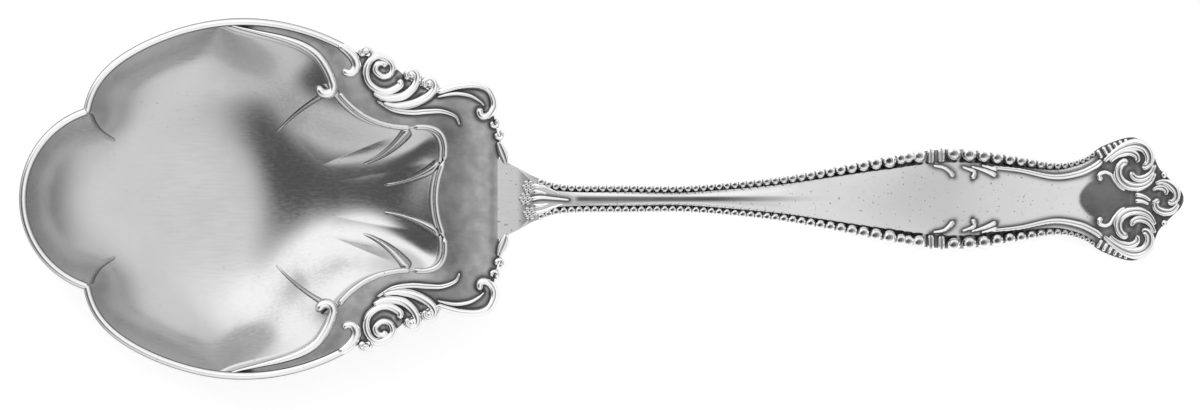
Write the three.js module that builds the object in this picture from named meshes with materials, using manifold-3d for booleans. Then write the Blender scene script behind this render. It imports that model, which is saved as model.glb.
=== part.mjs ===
// Silver berry spoon, lying on the bowl's belly and the end of the handle, open side up.
// The bowl points to -X, the handle to +X. The origin is the middle of the flat under the bowl.
// Sizes are millimetres and angles are degrees. Shares run from 0 to 1.
import * as THREE from "three";
import { mergeVertices } from "three/addons/utils/BufferGeometryUtils.js";
import Module from "manifold-3d";

const wasm = await Module();
wasm.setup();

// Bowl: two round side lobes, a smaller round front lobe and a scalloped back edge
const BOWL_RADIUS = 35.7;
const FRONT_REACH = 43.7;
const FRONT_LOBE_RADIUS = 18.9;
const BOWL_DEPTH = 13;
const SHEET = 1.2;
const RIM_TILT = 0.03;
const REST_SHARE = 0.16;
const FRONT_STEEPNESS = 3.3;
const BACK_STEEPNESS = 1.75;
const STEEP_FROM = 0.05;
const STEEP_TO = 0.6;
const LIP_WIDTH = 1.3;
const LIP_EDGE = 1;

// Side lobes swell past a circle towards the notch and towards the shoulder, and the crease
// between them and the front lobe softens away from the notch
const FRONT_SWELL_SHARE = 0.042;
const FRONT_SWELL_POWER = 2.5;
const BACK_SWELL_SHARE = 0.042;
const SWELL_START = 95;
const CREASE_BLEND = 0.8;
const DEEP_CREASE_BLEND = 8;
const DEEP_CREASE_INSET = 12;

// Back edge of the bowl: corners of its scallops and the bow of each, as shares of the bowl's radius
const OUTER_CORNER_SHARE = [0.515, 0.633];
const MIDDLE_CORNER_SHARE = [0.952, 0.395];
const INNER_CORNER_SHARE = [1.129, 0.21];
const CRESCENT_START = 97;
const CRESCENT_BOW_SHARE = -0.095;
const SIDE_FLUTE_BOW_SHARE = 0.07;
const SMALL_FLUTE_BOW_SHARE = -0.09;
const CENTRE_FLUTE_BOW_SHARE = 0.045;
const FLUTE_DEPTH = 0.5;
const SCOOP_START = 0.5;

// Ridges between the flutes, and the creases that run in from the notches of the front lobe.
// The ridges' inner ends are shares of the bowl's radius; the crease runs from the notch.
const OUTER_RIDGE_END_SHARE = [0.202, 0.37];
const MIDDLE_RIDGE_END_SHARE = [0.683, 0.193];
const INNER_RIDGE_END_SHARE = [0.796, 0.076];
const CREASE_LENGTH = 9.5;
const CREASE_ANGLE = -49;
const RIDGE_BOW = 0.7;
const CREASE_BOW = 1.6;
const RIDGE_HALF = 1.2;
const RIDGE_TIP_HALF = 0.25;
const RIDGE_RISE = 1.5;

// Solder seam: the clearance between each applied piece and its seat
const SEAM = 0.3;

// Half-round wires on the lip
const RIM_HALF = 0.75;
const RIM_RISE = 0.9;
const LOBE_END = 53;
const HOOK_RADIUS = 1.7;
const RIB_HALF = 0.85;
const RIB_RISE = 0.8;
const RIB_START_SHARE = 0.17;
const RIB_FULL_AT = 0.7;
const RIB_HOOK_RADIUS = 1.5;
const HOOK_SWEEP = 215;
const HOOK_CLOSE_SHARE = 0.58;
const MOULDING_HALF = 0.75;
const MOULDING_RISE = 0.8;
const MOULDING_WAIST_SHARE = 0.5;

// Shoulder ornament on the right hand side; places are measured from the volute's eye.
// A wrap is a list of radius and angle about the eye.
const VOLUTE_PAST_LOBE = 11.2;
const VOLUTE_OFFSET = 1.8;
const VOLUTE_RADIUS = 4.7;
const VOLUTE_EYE = 0.8;
const VOLUTE_START = 300;
const VOLUTE_TURNS = 1.25;
const INNER_WRAP = [[4.4, 235], [4.8, 275], [4.9, 310]];
const OUTER_WRAP = [[5.3, 201], [5.5, 252], [7.2, 293], [9.8, 327]];
const LEAF_CURL = [4.9, -0.9];
const LEAF_CURL_RADIUS = 1.5;
const SMALL_CURL = [8.9, -2.6];
const SMALL_CURL_RADIUS = 1.3;
const CURL_START = -20;
const CURL_TURNS = -0.6;
const CURL_CLOSE_SHARE = 0.4;
const BROW_CURL = [-2.7, 3.9];
const BROW_CURL_RADIUS = 0.9;
const BROW_HALF = 0.5;
const BROW_START = 14;
const BROW_ROOT = [3.1, 95];
const VEIN_ROOT = [6.3, 272];
const VEIN_TIP = [15.3, -10.1];
const VEIN_BOW = 0.9;
const VEIN_HALF = 0.7;
const SCROLL_HALF = 0.76;
const SCROLL_RISE = 1.1;
const SCROLL_SWELL_SHARE = 1.25;
const SCROLL_TAPER_SHARE = 0.6;

// Shoulder plate: where its outline passes under the volute and the corner curl
const PLATE_TOP_SHARE = 0.6;
const PLATE_SIDE_SHARE = 0.5;
const PLATE_CORNER_ANGLE = 40;

// C-scroll at the shoulder's corner, and the string of buds from there to the neck
const CORNER_INSET = 3.3;
const CORNER_SIDE = 19.4;
const CORNER_CURL_RADIUS = 2.2;
const CORNER_CURL_START = 70;
const CORNER_CURL_TURNS = 0.72;
const CORNER_BROW = 2.8;
const UNDER_CURL_ANGLE = -35;
const BUD_RADIUS = 1.05;
const BUD_COUNT = 3;
const BUD_WAIST_SHARE = 0.45;
const LAST_BUD_SHARE = 0.6;

// Handle: half widths at named places along it
const SHOULDER_LENGTH = 10.7;
const NECK_HALF = 7.9;
const NECK_LENGTH = 13;
const STEM_HALF = 2.65;
const STEM_END_FROM_TIP = 97.5;
const BLADE_HALF = 9.7;
const BLADE_FROM_TIP = 45.5;
const WAIST_HALF = 7.1;
const WAIST_FROM_TIP = 25;
const END_HALF = 12.2;
const END_FROM_TIP = 10.1;
const TIP_HALF = 0.5;
const TIP_REACH = 186.4;

// How the half width changes between those places: share of the way, share of the change
const NECK_CURVE = [[0, 0], [0.3, 0.36], [0.56, 0.7], [1, 0.97]];
const STEM_CURVE = [[0.5, 1], [1, 1]];
const BLADE_CURVE = [[0.3, 0.2], [0.5, 0.44], [0.78, 0.85], [0.94, 1]];
const WAIST_CURVE = [[0.17, 0], [0.6, 0.5], [1, 1]];
const END_CURVE = [[0.35, 0.2], [0.62, 0.68], [1, 1]];
const TIP_CURVE = [[0.35, 0.19], [0.51, 0.5], [0.73, 0.71], [0.93, 0.88], [1, 1]];

// Handle: thickness, crown and the long S of its side view
const HANDLE_THICKNESS = 2;
const STEM_EXTRA = 0.9;
const STEM_CROWN = 0.8;
const BLADE_CROWN = 0.8;
const CROWN_POWER = 3;
const ARCH_HEIGHT = 19;
const ARCH_FROM_TIP = 80;
const LOW_FROM_TIP = 20;
const TIP_LIFT = 2.6;
const LEDGE_DEPTH = 0.45;
const LEDGE_RUN_OUT = 4;
const PLAIN_EDGE = 0.05;
const EDGE_ROUNDING_SHARE = 0.5;
const BACK_ROUNDING_SHARE = 0.9;
const BACK_FLAT_SHARE = 0.7;
const CROWN_SHARES = [0.97, 0.75, 0.4];

// Tongue of the handle, which laps under the shoulder as a drop
const TONGUE_REACH = 11;
const TONGUE_RUN = 13;
const TONGUE_DEPTH = 1.7;
const TONGUE_TIP_SHARE = 0.985;
const TONGUE_EDGE_SHARE = 0.9;

// Bead wires and collars along the handle's edges. Collar sizes are the length and half width of
// each bead or bar; a profile is share of the length and of the size.
const STEM_BEAD_RADIUS = 0.78;
const BLADE_BEAD_RADIUS = 1.5;
const WAIST_BEAD_RADIUS = 0.6;
const BLADE_BEAD_POWER = 2.6;
const WAIST_BEAD_POWER = 1.3;
const SMALLEST_PAST_WAIST = 3;
const NECK_TO_BEAD_DISTANCE = 7.5;
const BEAD_TO_TIP_DISTANCE = 17.5;
const BEAD_OVERHANG_SHARE = 0.4;
const BEAD_RISE_SHARE = 1.3;
const BEAD_PROFILE = [[0.03, 0.4], [0.28, 0.93], [0.72, 0.93]];
const COLLAR_FROM_TIP = 50;
const COLLAR_LENGTH = 13.6;
const COLLAR_SIZES = [[2.3, 1.05], [2.8, 1.25], [2, 1.75], [2, 1.75], [3, 1.25]];
const COLLAR_PROFILE = [[0.03, 0.5], [0.25, 0.95], [0.75, 0.95], [0.97, 0.5]];

// Leaves at the collar: tip from the root along and across the handle, and bow
const SPRIG_PAST_BLADE = 1;
const SPRIG_INSET = 1;
const SPRIG_LEAVES = [[-4.8, -0.9, 0.8], [-1.8, -2.9, 0.5], [2.4, -3, 0.6], [6, -2.1, 0.9]];
const SPRIG_HALF = 0.8;

// Border line along the waist
const FILLET_PAST_BLADE = 8.5;
const FILLET_INSET = 1;
const FILLET_TURN_IN = 1.6;
const FILLET_HALF = 0.6;
const FILLET_TIP_HALF = 0.3;

// Palmette at the root of the stem: angle, length and half width of each petal
const PALMETTE_PAST_NECK = 8.8;
const PALMETTE_PETALS = [
  [180, 5, 0.9], [150, 5.2, 0.95], [210, 5.2, 0.95], [112, 2.2, 0.6], [248, 2.2, 0.6],
];
const PETAL_STALK_SHARE = 0.45;

// End of the handle: a pinwheel volute on the tip and one on each side of it
const TIP_VOLUTE_RADIUS = 3.2;
const END_VOLUTE_RADIUS = 5.4;
const END_VOLUTE_ANGLE = 135;
const PINWHEEL_ARMS = 3;
const ARM_SWEEP = 210;
const ARM_START_SHARE = 0.79;
const ARM_END_SHARE = 0.24;
const ARM_HALF_SHARE = 0.2;
const ARM_TIP_SHARE = 0.11;
const ARM_RISE = 1.3;
const DISC_SHARE = 0.86;
const DISC_RISE = 0.6;
const END_ARM_START = 190;
const TIP_ARM_START = 160;
const ACANTHUS_RADIUS = 1.2;
const ACANTHUS_HALF = 0.65;
const ACANTHUS_DROP = 1.6;
const ACANTHUS_ROOT_ANGLE = 220;
const ACANTHUS_START = -60;
const TIP_LEAF_HALF = 0.9;
const TIP_LEAF_POINT_HALF = 0.3;

// Facets: stations along each kind of path, and sides of its round section
const FLUTE_STEPS = 6;
const CRESCENT_STEPS = 8;
const LOBE_STEPS = 8;
const FRONT_STEPS = 7;
const INSIDE_RINGS = 6;
const OUTSIDE_RINGS = 5;
const RING_BIAS = 0.65;
const RIDGE_STEPS = 6;
const RIM_STEPS = 16;
const RIB_STEPS = 24;
const HOOK_STEPS = 7;
const LEAF_STEPS = 8;
const CURL_STEPS = 5;
const EYE_STEPS = 12;
const BUD_STEPS = 4;
const PLATE_STEPS = 34;
const HANDLE_STATIONS = 56;
const FILLET_STEPS = 12;
const ARM_STEPS = 6;
const DISC_SIDES = 14;
const TONGUE_STEPS = 12;
const TONGUE_SIDES = 8;
const CROWN_SIDES = 4;
const LOW_SIDES = 3;

const { degToRad, radToDeg, lerp, smoothstep, clamp } = THREE.MathUtils;

const silver = (roughness) =>
  new THREE.MeshStandardMaterial({ color: 0xd9d8d4, roughness, metalness: 1 });
const POLISHED = silver(0.16);
const STRUCK = silver(0.3);

// Plan points and paths
const at = (x, y) => new THREE.Vector2(x, y);
const polar = (radius, degrees) =>
  at(radius * Math.cos(degToRad(degrees)), radius * Math.sin(degToRad(degrees)));
const mirrored = (point) => at(point.x, -point.y);
const steps = (count) => Array.from({ length: count + 1 }, (_, i) => i / count);

const arc = (centre, radius, from, to, count) =>
  steps(count).map((share) => polar(radius, lerp(from, to, share)).add(centre));

// A bowed line from a to b; a positive bow goes to the left of the way from a to b
function bowed(a, b, bow, count) {
  const side = at(a.y - b.y, b.x - a.x).setLength(2 * bow);
  const control = a.clone().add(b).multiplyScalar(0.5).add(side);
  return new THREE.QuadraticBezierCurve(a, control, b).getPoints(count);
}

const smooth = (points, count) => new THREE.SplineCurve(points).getPoints(count);

// A spiral that turns clockwise while its radius changes evenly
const spiral = (centre, radius, endRadius, from, turns, count) =>
  steps(count).map((share) =>
    polar(lerp(radius, endRadius, share), from - turns * 360 * share).add(centre));

const joined = (...paths) => paths.flatMap((path, i) => (i ? path.slice(1) : path));

function leftOf(path, i) {
  const before = path[Math.max(i - 1, 0)];
  const after = path[Math.min(i + 1, path.length - 1)];
  return at(before.y - after.y, after.x - before.x).normalize();
}

const offset = (path, distance) =>
  path.map((point, i) => point.clone().addScaledVector(leftOf(path, i), distance));

// Solids
function closedSolid(positions, faces) {
  const geometry = new THREE.BufferGeometry();
  geometry.setAttribute("position", new THREE.Float32BufferAttribute(positions, 3));
  geometry.setIndex(faces);
  return facingOut(geometry);
}

function facingOut(geometry) {
  const p = geometry.attributes.position;
  const index = geometry.index.array;
  const corner = (i) => new THREE.Vector3().fromBufferAttribute(p, index[i]);
  let volume = 0;
  for (let i = 0; i < index.length; i += 3) {
    volume += corner(i).dot(corner(i + 1).cross(corner(i + 2)));
  }
  if (volume < 0) {
    index.reverse();
  }
  return geometry;
}

// A closed skin over sections that all have the same number of points
function loft(sections) {
  const count = sections[0].length;
  const positions = sections.flat().flatMap((p) => [p.x, p.y, p.z]);
  const faces = [];
  for (let s = 0; s + 1 < sections.length; s += 1) {
    for (let i = 0; i < count; i += 1) {
      const a = s * count + i;
      const b = s * count + ((i + 1) % count);
      faces.push(a, b, a + count, b, b + count, a + count);
    }
  }
  const last = (sections.length - 1) * count;
  const capped = [[sections[0], 0, false], [sections.at(-1), last, true]];
  for (const [section, start, forward] of capped) {
    const middle = section.reduce((sum, p) => sum.add(p), new THREE.Vector3());
    middle.divideScalar(count);
    const hub = positions.length / 3;
    positions.push(middle.x, middle.y, middle.z);
    for (let i = 0; i < count; i += 1) {
      const a = start + i;
      const b = start + ((i + 1) % count);
      faces.push(...(forward ? [a, b, hub] : [b, a, hub]));
    }
  }
  return closedSolid(positions, faces);
}

function toManifold(geometry) {
  const bare = geometry.clone();
  bare.deleteAttribute("normal");
  bare.deleteAttribute("uv");
  const merged = mergeVertices(bare, 1e-4);
  return new wasm.Manifold(new wasm.Mesh({
    numProp: 3,
    vertProperties: new Float32Array(merged.attributes.position.array),
    triVerts: new Uint32Array(merged.index.array),
  }));
}

function fromManifold(solid) {
  const mesh = solid.getMesh();
  return closedSolid(Array.from(mesh.vertProperties), Array.from(mesh.triVerts));
}

const unite = (pieces) =>
  fromManifold(pieces.map(toManifold).reduce((sum, piece) => sum.add(piece)));
const cut = (piece, tool) => fromManifold(toManifold(piece).subtract(toManifold(tool)));

function mirror(geometry) {
  const copy = geometry.clone().applyMatrix4(new THREE.Matrix4().makeScale(1, -1, 1));
  return facingOut(copy);
}

// A half-round ridge along a plan path, with its flat side on the given floor.
// half and rise are its half width and height as functions of the share of the way along.
function ridge(path, half, rise, floor, sides = CROWN_SIDES) {
  return loft(path.map((point, i) => {
    const share = i / (path.length - 1);
    const left = leftOf(path, i);
    return steps(sides).map((turn) => {
      const angle = Math.PI * turn;
      const p = point.clone().addScaledVector(left, half(share) * Math.cos(angle));
      return new THREE.Vector3(p.x, p.y, floor(p.x, p.y) + rise(share) * Math.sin(angle));
    });
  }));
}

const constant = (value) => () => value;
const tapered = (from, to) => (share) => lerp(from, to, share);
const swelling = (ends, middle) => (share) => lerp(ends, middle, Math.sin(Math.PI * share));

// Bowl
const rimHeight = (x) => SHEET + BOWL_DEPTH + RIM_TILT * x;
const onRim = (x) => rimHeight(x) + SEAM;

const inBowl = ([x, y]) => at(x * BOWL_RADIUS, y * BOWL_RADIUS);
const outerCorner = inBowl(OUTER_CORNER_SHARE);
const middleCorner = inBowl(MIDDLE_CORNER_SHARE);
const innerCorner = inBowl(INNER_CORNER_SHARE);
const neckReach = innerCorner.x + SHOULDER_LENGTH;
const crescentTip = polar(BOWL_RADIUS, CRESCENT_START);
const lobeSpacing = FRONT_REACH - FRONT_LOBE_RADIUS;
const frontCentre = at(-lobeSpacing, 0);

// Angles of the notch between side and front lobe, about each lobe's centre
function notchAngles(sideRadius, frontRadius) {
  const reach = (sideRadius ** 2 - frontRadius ** 2 + lobeSpacing ** 2) / (2 * lobeSpacing);
  const height = Math.sqrt(sideRadius ** 2 - reach ** 2);
  const side = radToDeg(Math.atan2(height, -reach));
  const front = radToDeg(Math.atan2(height, lobeSpacing - reach));
  return { side, front };
}

const notch = notchAngles(BOWL_RADIUS, FRONT_LOBE_RADIUS);

// Radius of a side lobe about the bowl's middle, and its outline moved in by an inset
function lobeRadius(degrees) {
  const towardsNotch = clamp((degrees - SWELL_START) / (notch.side - SWELL_START), 0, 1);
  const towardsBack = Math.max((SWELL_START - degrees) / (SWELL_START - LOBE_END), 0);
  const swell = FRONT_SWELL_SHARE * Math.sin(Math.PI * towardsNotch ** FRONT_SWELL_POWER)
    + BACK_SWELL_SHARE * towardsBack ** 2;
  return BOWL_RADIUS * (1 + swell);
}

const lobeLine = (inset, from, to, count) => steps(count).map((share) => {
  const degrees = lerp(from, to, share);
  return polar(lobeRadius(degrees) - inset, degrees);
});

const scallop = (from, to, bow, count) => bowed(from, to, bow * BOWL_RADIUS, count);
const backEdge = joined(
  scallop(mirrored(innerCorner), innerCorner, CENTRE_FLUTE_BOW_SHARE, FLUTE_STEPS).slice(FLUTE_STEPS / 2),
  scallop(innerCorner, middleCorner, SMALL_FLUTE_BOW_SHARE, FLUTE_STEPS),
  scallop(middleCorner, outerCorner, SIDE_FLUTE_BOW_SHARE, FLUTE_STEPS),
);
const halfEdge = joined(
  backEdge,
  scallop(outerCorner, crescentTip, CRESCENT_BOW_SHARE, CRESCENT_STEPS),
  lobeLine(0, CRESCENT_START, notch.side, LOBE_STEPS),
  arc(frontCentre, FRONT_LOBE_RADIUS, notch.front, 180, FRONT_STEPS),
);
const bowlEdge = [...halfEdge, ...halfEdge.slice(1, -1).reverse().map(mirrored)];

function steepness(point) {
  const towardsFront = (1 - point.x / point.length()) / 2;
  return lerp(BACK_STEEPNESS, FRONT_STEEPNESS, smoothstep(towardsFront, STEEP_FROM, STEEP_TO));
}

// Share of the way up the wall at a share of the way from the bowl's middle to an edge point.
// In front, the side and front lobes have walls of their own, which meet in a crease.
function wallShare(edgePoint, share) {
  const degrees = radToDeg(Math.atan2(Math.abs(edgePoint.y), edgePoint.x));
  if (degrees < CRESCENT_START) {
    return share;
  }
  const reach = BOWL_RADIUS - LIP_WIDTH;
  const p = edgePoint.clone().setLength((edgePoint.length() - LIP_WIDTH) * share);
  const side = reach * (1 - p.length() / (lobeRadius(degrees) - LIP_WIDTH));
  const ahead = at(Math.min(p.x - frontCentre.x, 0), p.y);
  const front = FRONT_LOBE_RADIUS - LIP_WIDTH - ahead.length();
  const inset = Math.max(side, front);
  const blend = lerp(CREASE_BLEND, DEEP_CREASE_BLEND, smoothstep(inset, 0, DEEP_CREASE_INSET));
  const overlap = Math.max(blend - Math.abs(side - front), 0) / blend;
  return clamp(1 - (inset + (overlap ** 2 * blend) / 4) / reach, 0, 1);
}

// Inside height and wall slope of the bowl at a share of the way from its middle to the lip
function bowlWall(edgePoint, share) {
  const power = steepness(edgePoint);
  const climb = Math.max((wallShare(edgePoint, share) - REST_SHARE) / (1 - REST_SHARE), 0);
  const rise = rimHeight(edgePoint.x) - SHEET;
  const slope = (rise * power * climb ** (power - 1)) / (edgePoint.length() - LIP_WIDTH);
  return { height: SHEET + rise * climb ** power, slope };
}

// Depth of the scoops between the ridges at the back of the bowl, for a place along the edge
function scoop(place, share) {
  const fluted = backEdge.length - 1;
  const fromMiddle = Math.min(place, bowlEdge.length - place);
  if (fromMiddle > fluted || share < SCOOP_START) {
    return 0;
  }
  const turn = fromMiddle / FLUTE_STEPS + 0.5;
  const fade = Math.sin(Math.PI * ((share - SCOOP_START) / (1 - SCOOP_START)));
  return FLUTE_DEPTH * Math.sin(Math.PI * (turn % 1)) * fade;
}

// Inside height of the bowl on the line from its middle through a plan point
function insideHeight(x, y) {
  const across = at(-y, x);
  const place = bowlEdge.findIndex((a, i) => {
    const b = bowlEdge[(i + 1) % bowlEdge.length];
    return a.dot(across) <= 0 && b.dot(across) > 0 && a.x * x + a.y * y > 0;
  });
  const [a, b] = [bowlEdge[place], bowlEdge[(place + 1) % bowlEdge.length]];
  const between = a.dot(across) / (a.dot(across) - b.dot(across));
  const edge = a.clone().lerp(b, between);
  const share = Math.min(Math.hypot(x, y) / (edge.length() - LIP_WIDTH), 1);
  return bowlWall(edge, share).height - scoop(place + between, share);
}

function bowlRidges() {
  const sunk = (x, y) => insideHeight(x, y) - SHEET / 2;
  const half = tapered(RIDGE_HALF, RIDGE_TIP_HALF);
  const rise = (share) => SHEET / 2 + RIDGE_RISE * Math.sin(Math.PI * share);
  const notchPoint = polar(BOWL_RADIUS - LIP_WIDTH, notch.side);
  const creaseEnd = polar(CREASE_LENGTH, CREASE_ANGLE).add(notchPoint);
  const lines = [
    [outerCorner, inBowl(OUTER_RIDGE_END_SHARE), -RIDGE_BOW],
    [middleCorner, inBowl(MIDDLE_RIDGE_END_SHARE), RIDGE_BOW],
    [innerCorner, inBowl(INNER_RIDGE_END_SHARE), RIDGE_BOW],
    [notchPoint, creaseEnd, CREASE_BOW],
  ];
  const right = lines.map(([start, end, bow]) => {
    const foot = start.clone().setLength(start.length() - LIP_WIDTH);
    return ridge(bowed(foot, end, bow, RIDGE_STEPS), half, rise, sunk, LOW_SIDES);
  });
  return [...right, ...right.map(mirror)];
}

function bowlShell() {
  const ring = (share, dropOf) => bowlEdge.map((edge, i) => {
    const p = edge.clone().setLength((edge.length() - LIP_WIDTH) * share);
    const { height, slope } = bowlWall(edge, share);
    return new THREE.Vector3(p.x, p.y, height - scoop(i, share) - dropOf(slope));
  });
  const rings = (count, dropOf) =>
    steps(count).map((step) => ring(lerp(REST_SHARE, 1, step ** RING_BIAS), dropOf));
  const inside = rings(INSIDE_RINGS, constant(0));
  const outside = rings(OUTSIDE_RINGS, (slope) => SHEET * Math.hypot(1, Math.min(slope, 1)));
  const lip = [0, LIP_EDGE].map((drop) =>
    bowlEdge.map((p) => new THREE.Vector3(p.x, p.y, rimHeight(p.x) - drop)));
  return unite([loft([...inside, ...lip, ...outside.reverse()]), ...bowlRidges()]);
}

// Wires on the lip; the side and front rims stop short of each other at the notches
const rimRadius = BOWL_RADIUS - RIM_HALF;
const frontRimRadius = FRONT_LOBE_RADIUS - RIM_HALF;
const rimNotch = notchAngles(rimRadius, frontRimRadius);
const wireGap = RIM_HALF + SEAM / 2;
const sideStart = rimNotch.side - radToDeg(wireGap / rimRadius);
const frontStart = rimNotch.front + radToDeg(wireGap / frontRimRadius);

function sideRim() {
  const hookCentre = polar(lobeRadius(LOBE_END) - RIM_HALF - HOOK_RADIUS, LOBE_END);
  const hookEnd = HOOK_RADIUS * HOOK_CLOSE_SHARE;
  const path = joined(
    lobeLine(RIM_HALF, sideStart, LOBE_END, RIM_STEPS),
    spiral(hookCentre, HOOK_RADIUS, hookEnd, LOBE_END, HOOK_SWEEP / 360, HOOK_STEPS),
  );
  return ridge(path, constant(RIM_HALF), constant(RIM_RISE), onRim);
}

function frontRim() {
  const path = arc(frontCentre, frontRimRadius, frontStart, 360 - frontStart, RIM_STEPS);
  return ridge(path, constant(RIM_HALF), constant(RIM_RISE), onRim);
}

// Inner rib of a side lobe: a taper along the crescent's seam that ends in a hook
function lobeRib() {
  const reach = rimRadius - RIM_HALF - SEAM / 2 - RIB_HALF * RIB_START_SHARE;
  const crescent = scallop(outerCorner, crescentTip, CRESCENT_BOW_SHARE, RIB_STEPS);
  const seam = offset(crescent, -SEAM / 2).filter((p) => p.length() < reach);
  const inward = leftOf(seam, 0).multiplyScalar(RIB_HOOK_RADIUS);
  const centre = seam[0].clone().add(inward);
  const from = radToDeg(Math.atan2(-inward.y, -inward.x));
  const closed = RIB_HOOK_RADIUS * HOOK_CLOSE_SHARE;
  const hook = spiral(centre, RIB_HOOK_RADIUS, closed, from, HOOK_SWEEP / 360, HOOK_STEPS);
  const grow = (full) => (share) =>
    full * lerp(RIB_START_SHARE, 1, smoothstep(share, 0, RIB_FULL_AT));
  return ridge(joined(seam.reverse(), hook), grow(RIB_HALF), grow(RIB_RISE), onRim);
}

// Moulding along the scalloped back edge, waisted at each corner and at its ends
function heelMoulding() {
  const clear = RIB_HALF + RIB_HOOK_RADIUS / 2 + SEAM;
  const beside = backEdge.at(-2).clone().sub(outerCorner).setLength(clear);
  const right = [...backEdge.slice(0, -1), outerCorner.clone().add(beside)];
  const path = offset([...right.slice(1).reverse(), ...right.map(mirrored)], SEAM / 2);
  const last = path.length - 1;
  const waisted = (full) => (share) =>
    full * (Math.round(share * last) % FLUTE_STEPS ? 1 : MOULDING_WAIST_SHARE);
  return ridge(path, waisted(MOULDING_HALF), waisted(MOULDING_RISE), onRim);
}

// Shoulder ornament: the places that the plate and the scrolls share
const volute = polar(BOWL_RADIUS + VOLUTE_OFFSET, LOBE_END - VOLUTE_PAST_LOBE);
const leafCurl = at(...LEAF_CURL).add(volute);
const smallCurl = at(...SMALL_CURL).add(volute);
const browCurl = at(...BROW_CURL).add(volute);
const cornerCurl = at(neckReach - CORNER_INSET, CORNER_SIDE);
const pastCurl = SMALL_CURL_RADIUS + 2 * SCROLL_HALF + SEAM;
const scrollStart = at(smallCurl.x + pastCurl, smallCurl.y - SCROLL_HALF);
const scrollTop = at(lerp(scrollStart.x, cornerCurl.x, 0.5), cornerCurl.y + CORNER_BROW);
const onVolute = ([radius, degrees]) => polar(radius, degrees).add(volute);

// Shoulder plate: its outline passes under the ornament, and the bowl's edge is cut out of it
function shoulderPlate() {
  const lobe = lobeLine(SEAM, CRESCENT_START, LOBE_END, RIM_STEPS);
  const outer = smooth([
    lobe.at(-1),
    browCurl,
    at(volute.x, volute.y + VOLUTE_RADIUS * PLATE_TOP_SHARE),
    at(volute.x + VOLUTE_RADIUS * PLATE_SIDE_SHARE, volute.y + VOLUTE_EYE),
    leafCurl,
    smallCurl.clone().sub(at(SMALL_CURL_RADIUS, SMALL_CURL_RADIUS)),
    at(scrollStart.x, scrollStart.y - SCROLL_HALF),
    scrollTop,
    polar(CORNER_CURL_RADIUS, PLATE_CORNER_ANGLE).add(cornerCurl),
    at(neckReach + SEAM / 2, lerp(NECK_HALF, cornerCurl.y, 0.5)),
    at(neckReach, NECK_HALF + 2 * SEAM),
    at(neckReach - SEAM / 2, NECK_HALF),
  ], PLATE_STEPS);
  const right = joined(lobe, outer);
  const outline = [...right, ...right.map(mirrored).reverse()];
  const extruded = (points, depth) =>
    new THREE.ExtrudeGeometry(new THREE.Shape(points), { depth, bevelEnabled: false });
  const opening = extruded(offset([...bowlEdge, bowlEdge[0]], -SEAM).slice(0, -1), 3 * SHEET);
  opening.translate(0, 0, -SHEET);
  const flat = cut(extruded(outline, SHEET), opening);
  const p = flat.attributes.position;
  for (let i = 0; i < p.count; i += 1) {
    p.setZ(i, p.getZ(i) + rimHeight(p.getX(i)) - SHEET);
  }
  return flat;
}

const scrollWidth = swelling(SCROLL_HALF * SCROLL_TAPER_SHARE, SCROLL_HALF * SCROLL_SWELL_SHARE);

// Big spiral with a small curl on its brow, two leaves that wrap round its foot and curl beside it,
// and the long vein below
function voluteGroup() {
  const eye = spiral(volute, VOLUTE_RADIUS, VOLUTE_EYE, VOLUTE_START, VOLUTE_TURNS, EYE_STEPS);
  const leaf = (wrap, centre, radius) => joined(
    smooth([...wrap.map(onVolute), polar(radius, CURL_START).add(centre)], LEAF_STEPS),
    spiral(centre, radius, radius * CURL_CLOSE_SHARE, CURL_START, CURL_TURNS, CURL_STEPS),
  );
  const browEnd = BROW_CURL_RADIUS * CURL_CLOSE_SHARE;
  const brow = joined(
    [onVolute(BROW_ROOT)],
    spiral(browCurl, BROW_CURL_RADIUS, browEnd, BROW_START, CURL_TURNS, CURL_STEPS),
  );
  const vein = bowed(onVolute(VEIN_ROOT), at(...VEIN_TIP).add(volute), VEIN_BOW, LEAF_STEPS);
  const veinSize = swelling(VEIN_HALF / 2, VEIN_HALF);
  return unite([
    ridge(eye, constant(SCROLL_HALF), tapered(SCROLL_RISE, SCROLL_RISE * SCROLL_SWELL_SHARE), onRim),
    ridge(leaf(INNER_WRAP, leafCurl, LEAF_CURL_RADIUS), scrollWidth, constant(SCROLL_RISE), onRim),
    ridge(leaf(OUTER_WRAP, smallCurl, SMALL_CURL_RADIUS), scrollWidth, constant(SCROLL_RISE), onRim),
    ridge(vein, veinSize, veinSize, onRim),
    ridge(brow, constant(BROW_HALF), constant(SCROLL_RISE), onRim),
  ]);
}

function cornerScroll() {
  const curlStart = polar(CORNER_CURL_RADIUS, CORNER_CURL_START).add(cornerCurl);
  const sweep = smooth([scrollStart, scrollTop, curlStart], LEAF_STEPS);
  const curl = spiral(
    cornerCurl, CORNER_CURL_RADIUS, CORNER_CURL_RADIUS * HOOK_CLOSE_SHARE,
    CORNER_CURL_START, CORNER_CURL_TURNS, LEAF_STEPS);
  const underCurl = polar(CORNER_CURL_RADIUS, UNDER_CURL_ANGLE).add(cornerCurl);
  const neckCorner = at(neckReach + SEAM, NECK_HALF + BUD_RADIUS);
  const string = steps(BUD_COUNT * BUD_STEPS).map((share) => underCurl.clone().lerp(neckCorner, share));
  const budSize = (share) => BUD_RADIUS * lerp(1, LAST_BUD_SHARE, share)
    * lerp(BUD_WAIST_SHARE, 1, Math.abs(Math.sin(BUD_COUNT * Math.PI * share)));
  return unite([
    ridge(joined(sweep, curl), scrollWidth, constant(SCROLL_RISE), onRim),
    ridge(string, budSize, budSize, onRim),
  ]);
}

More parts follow.
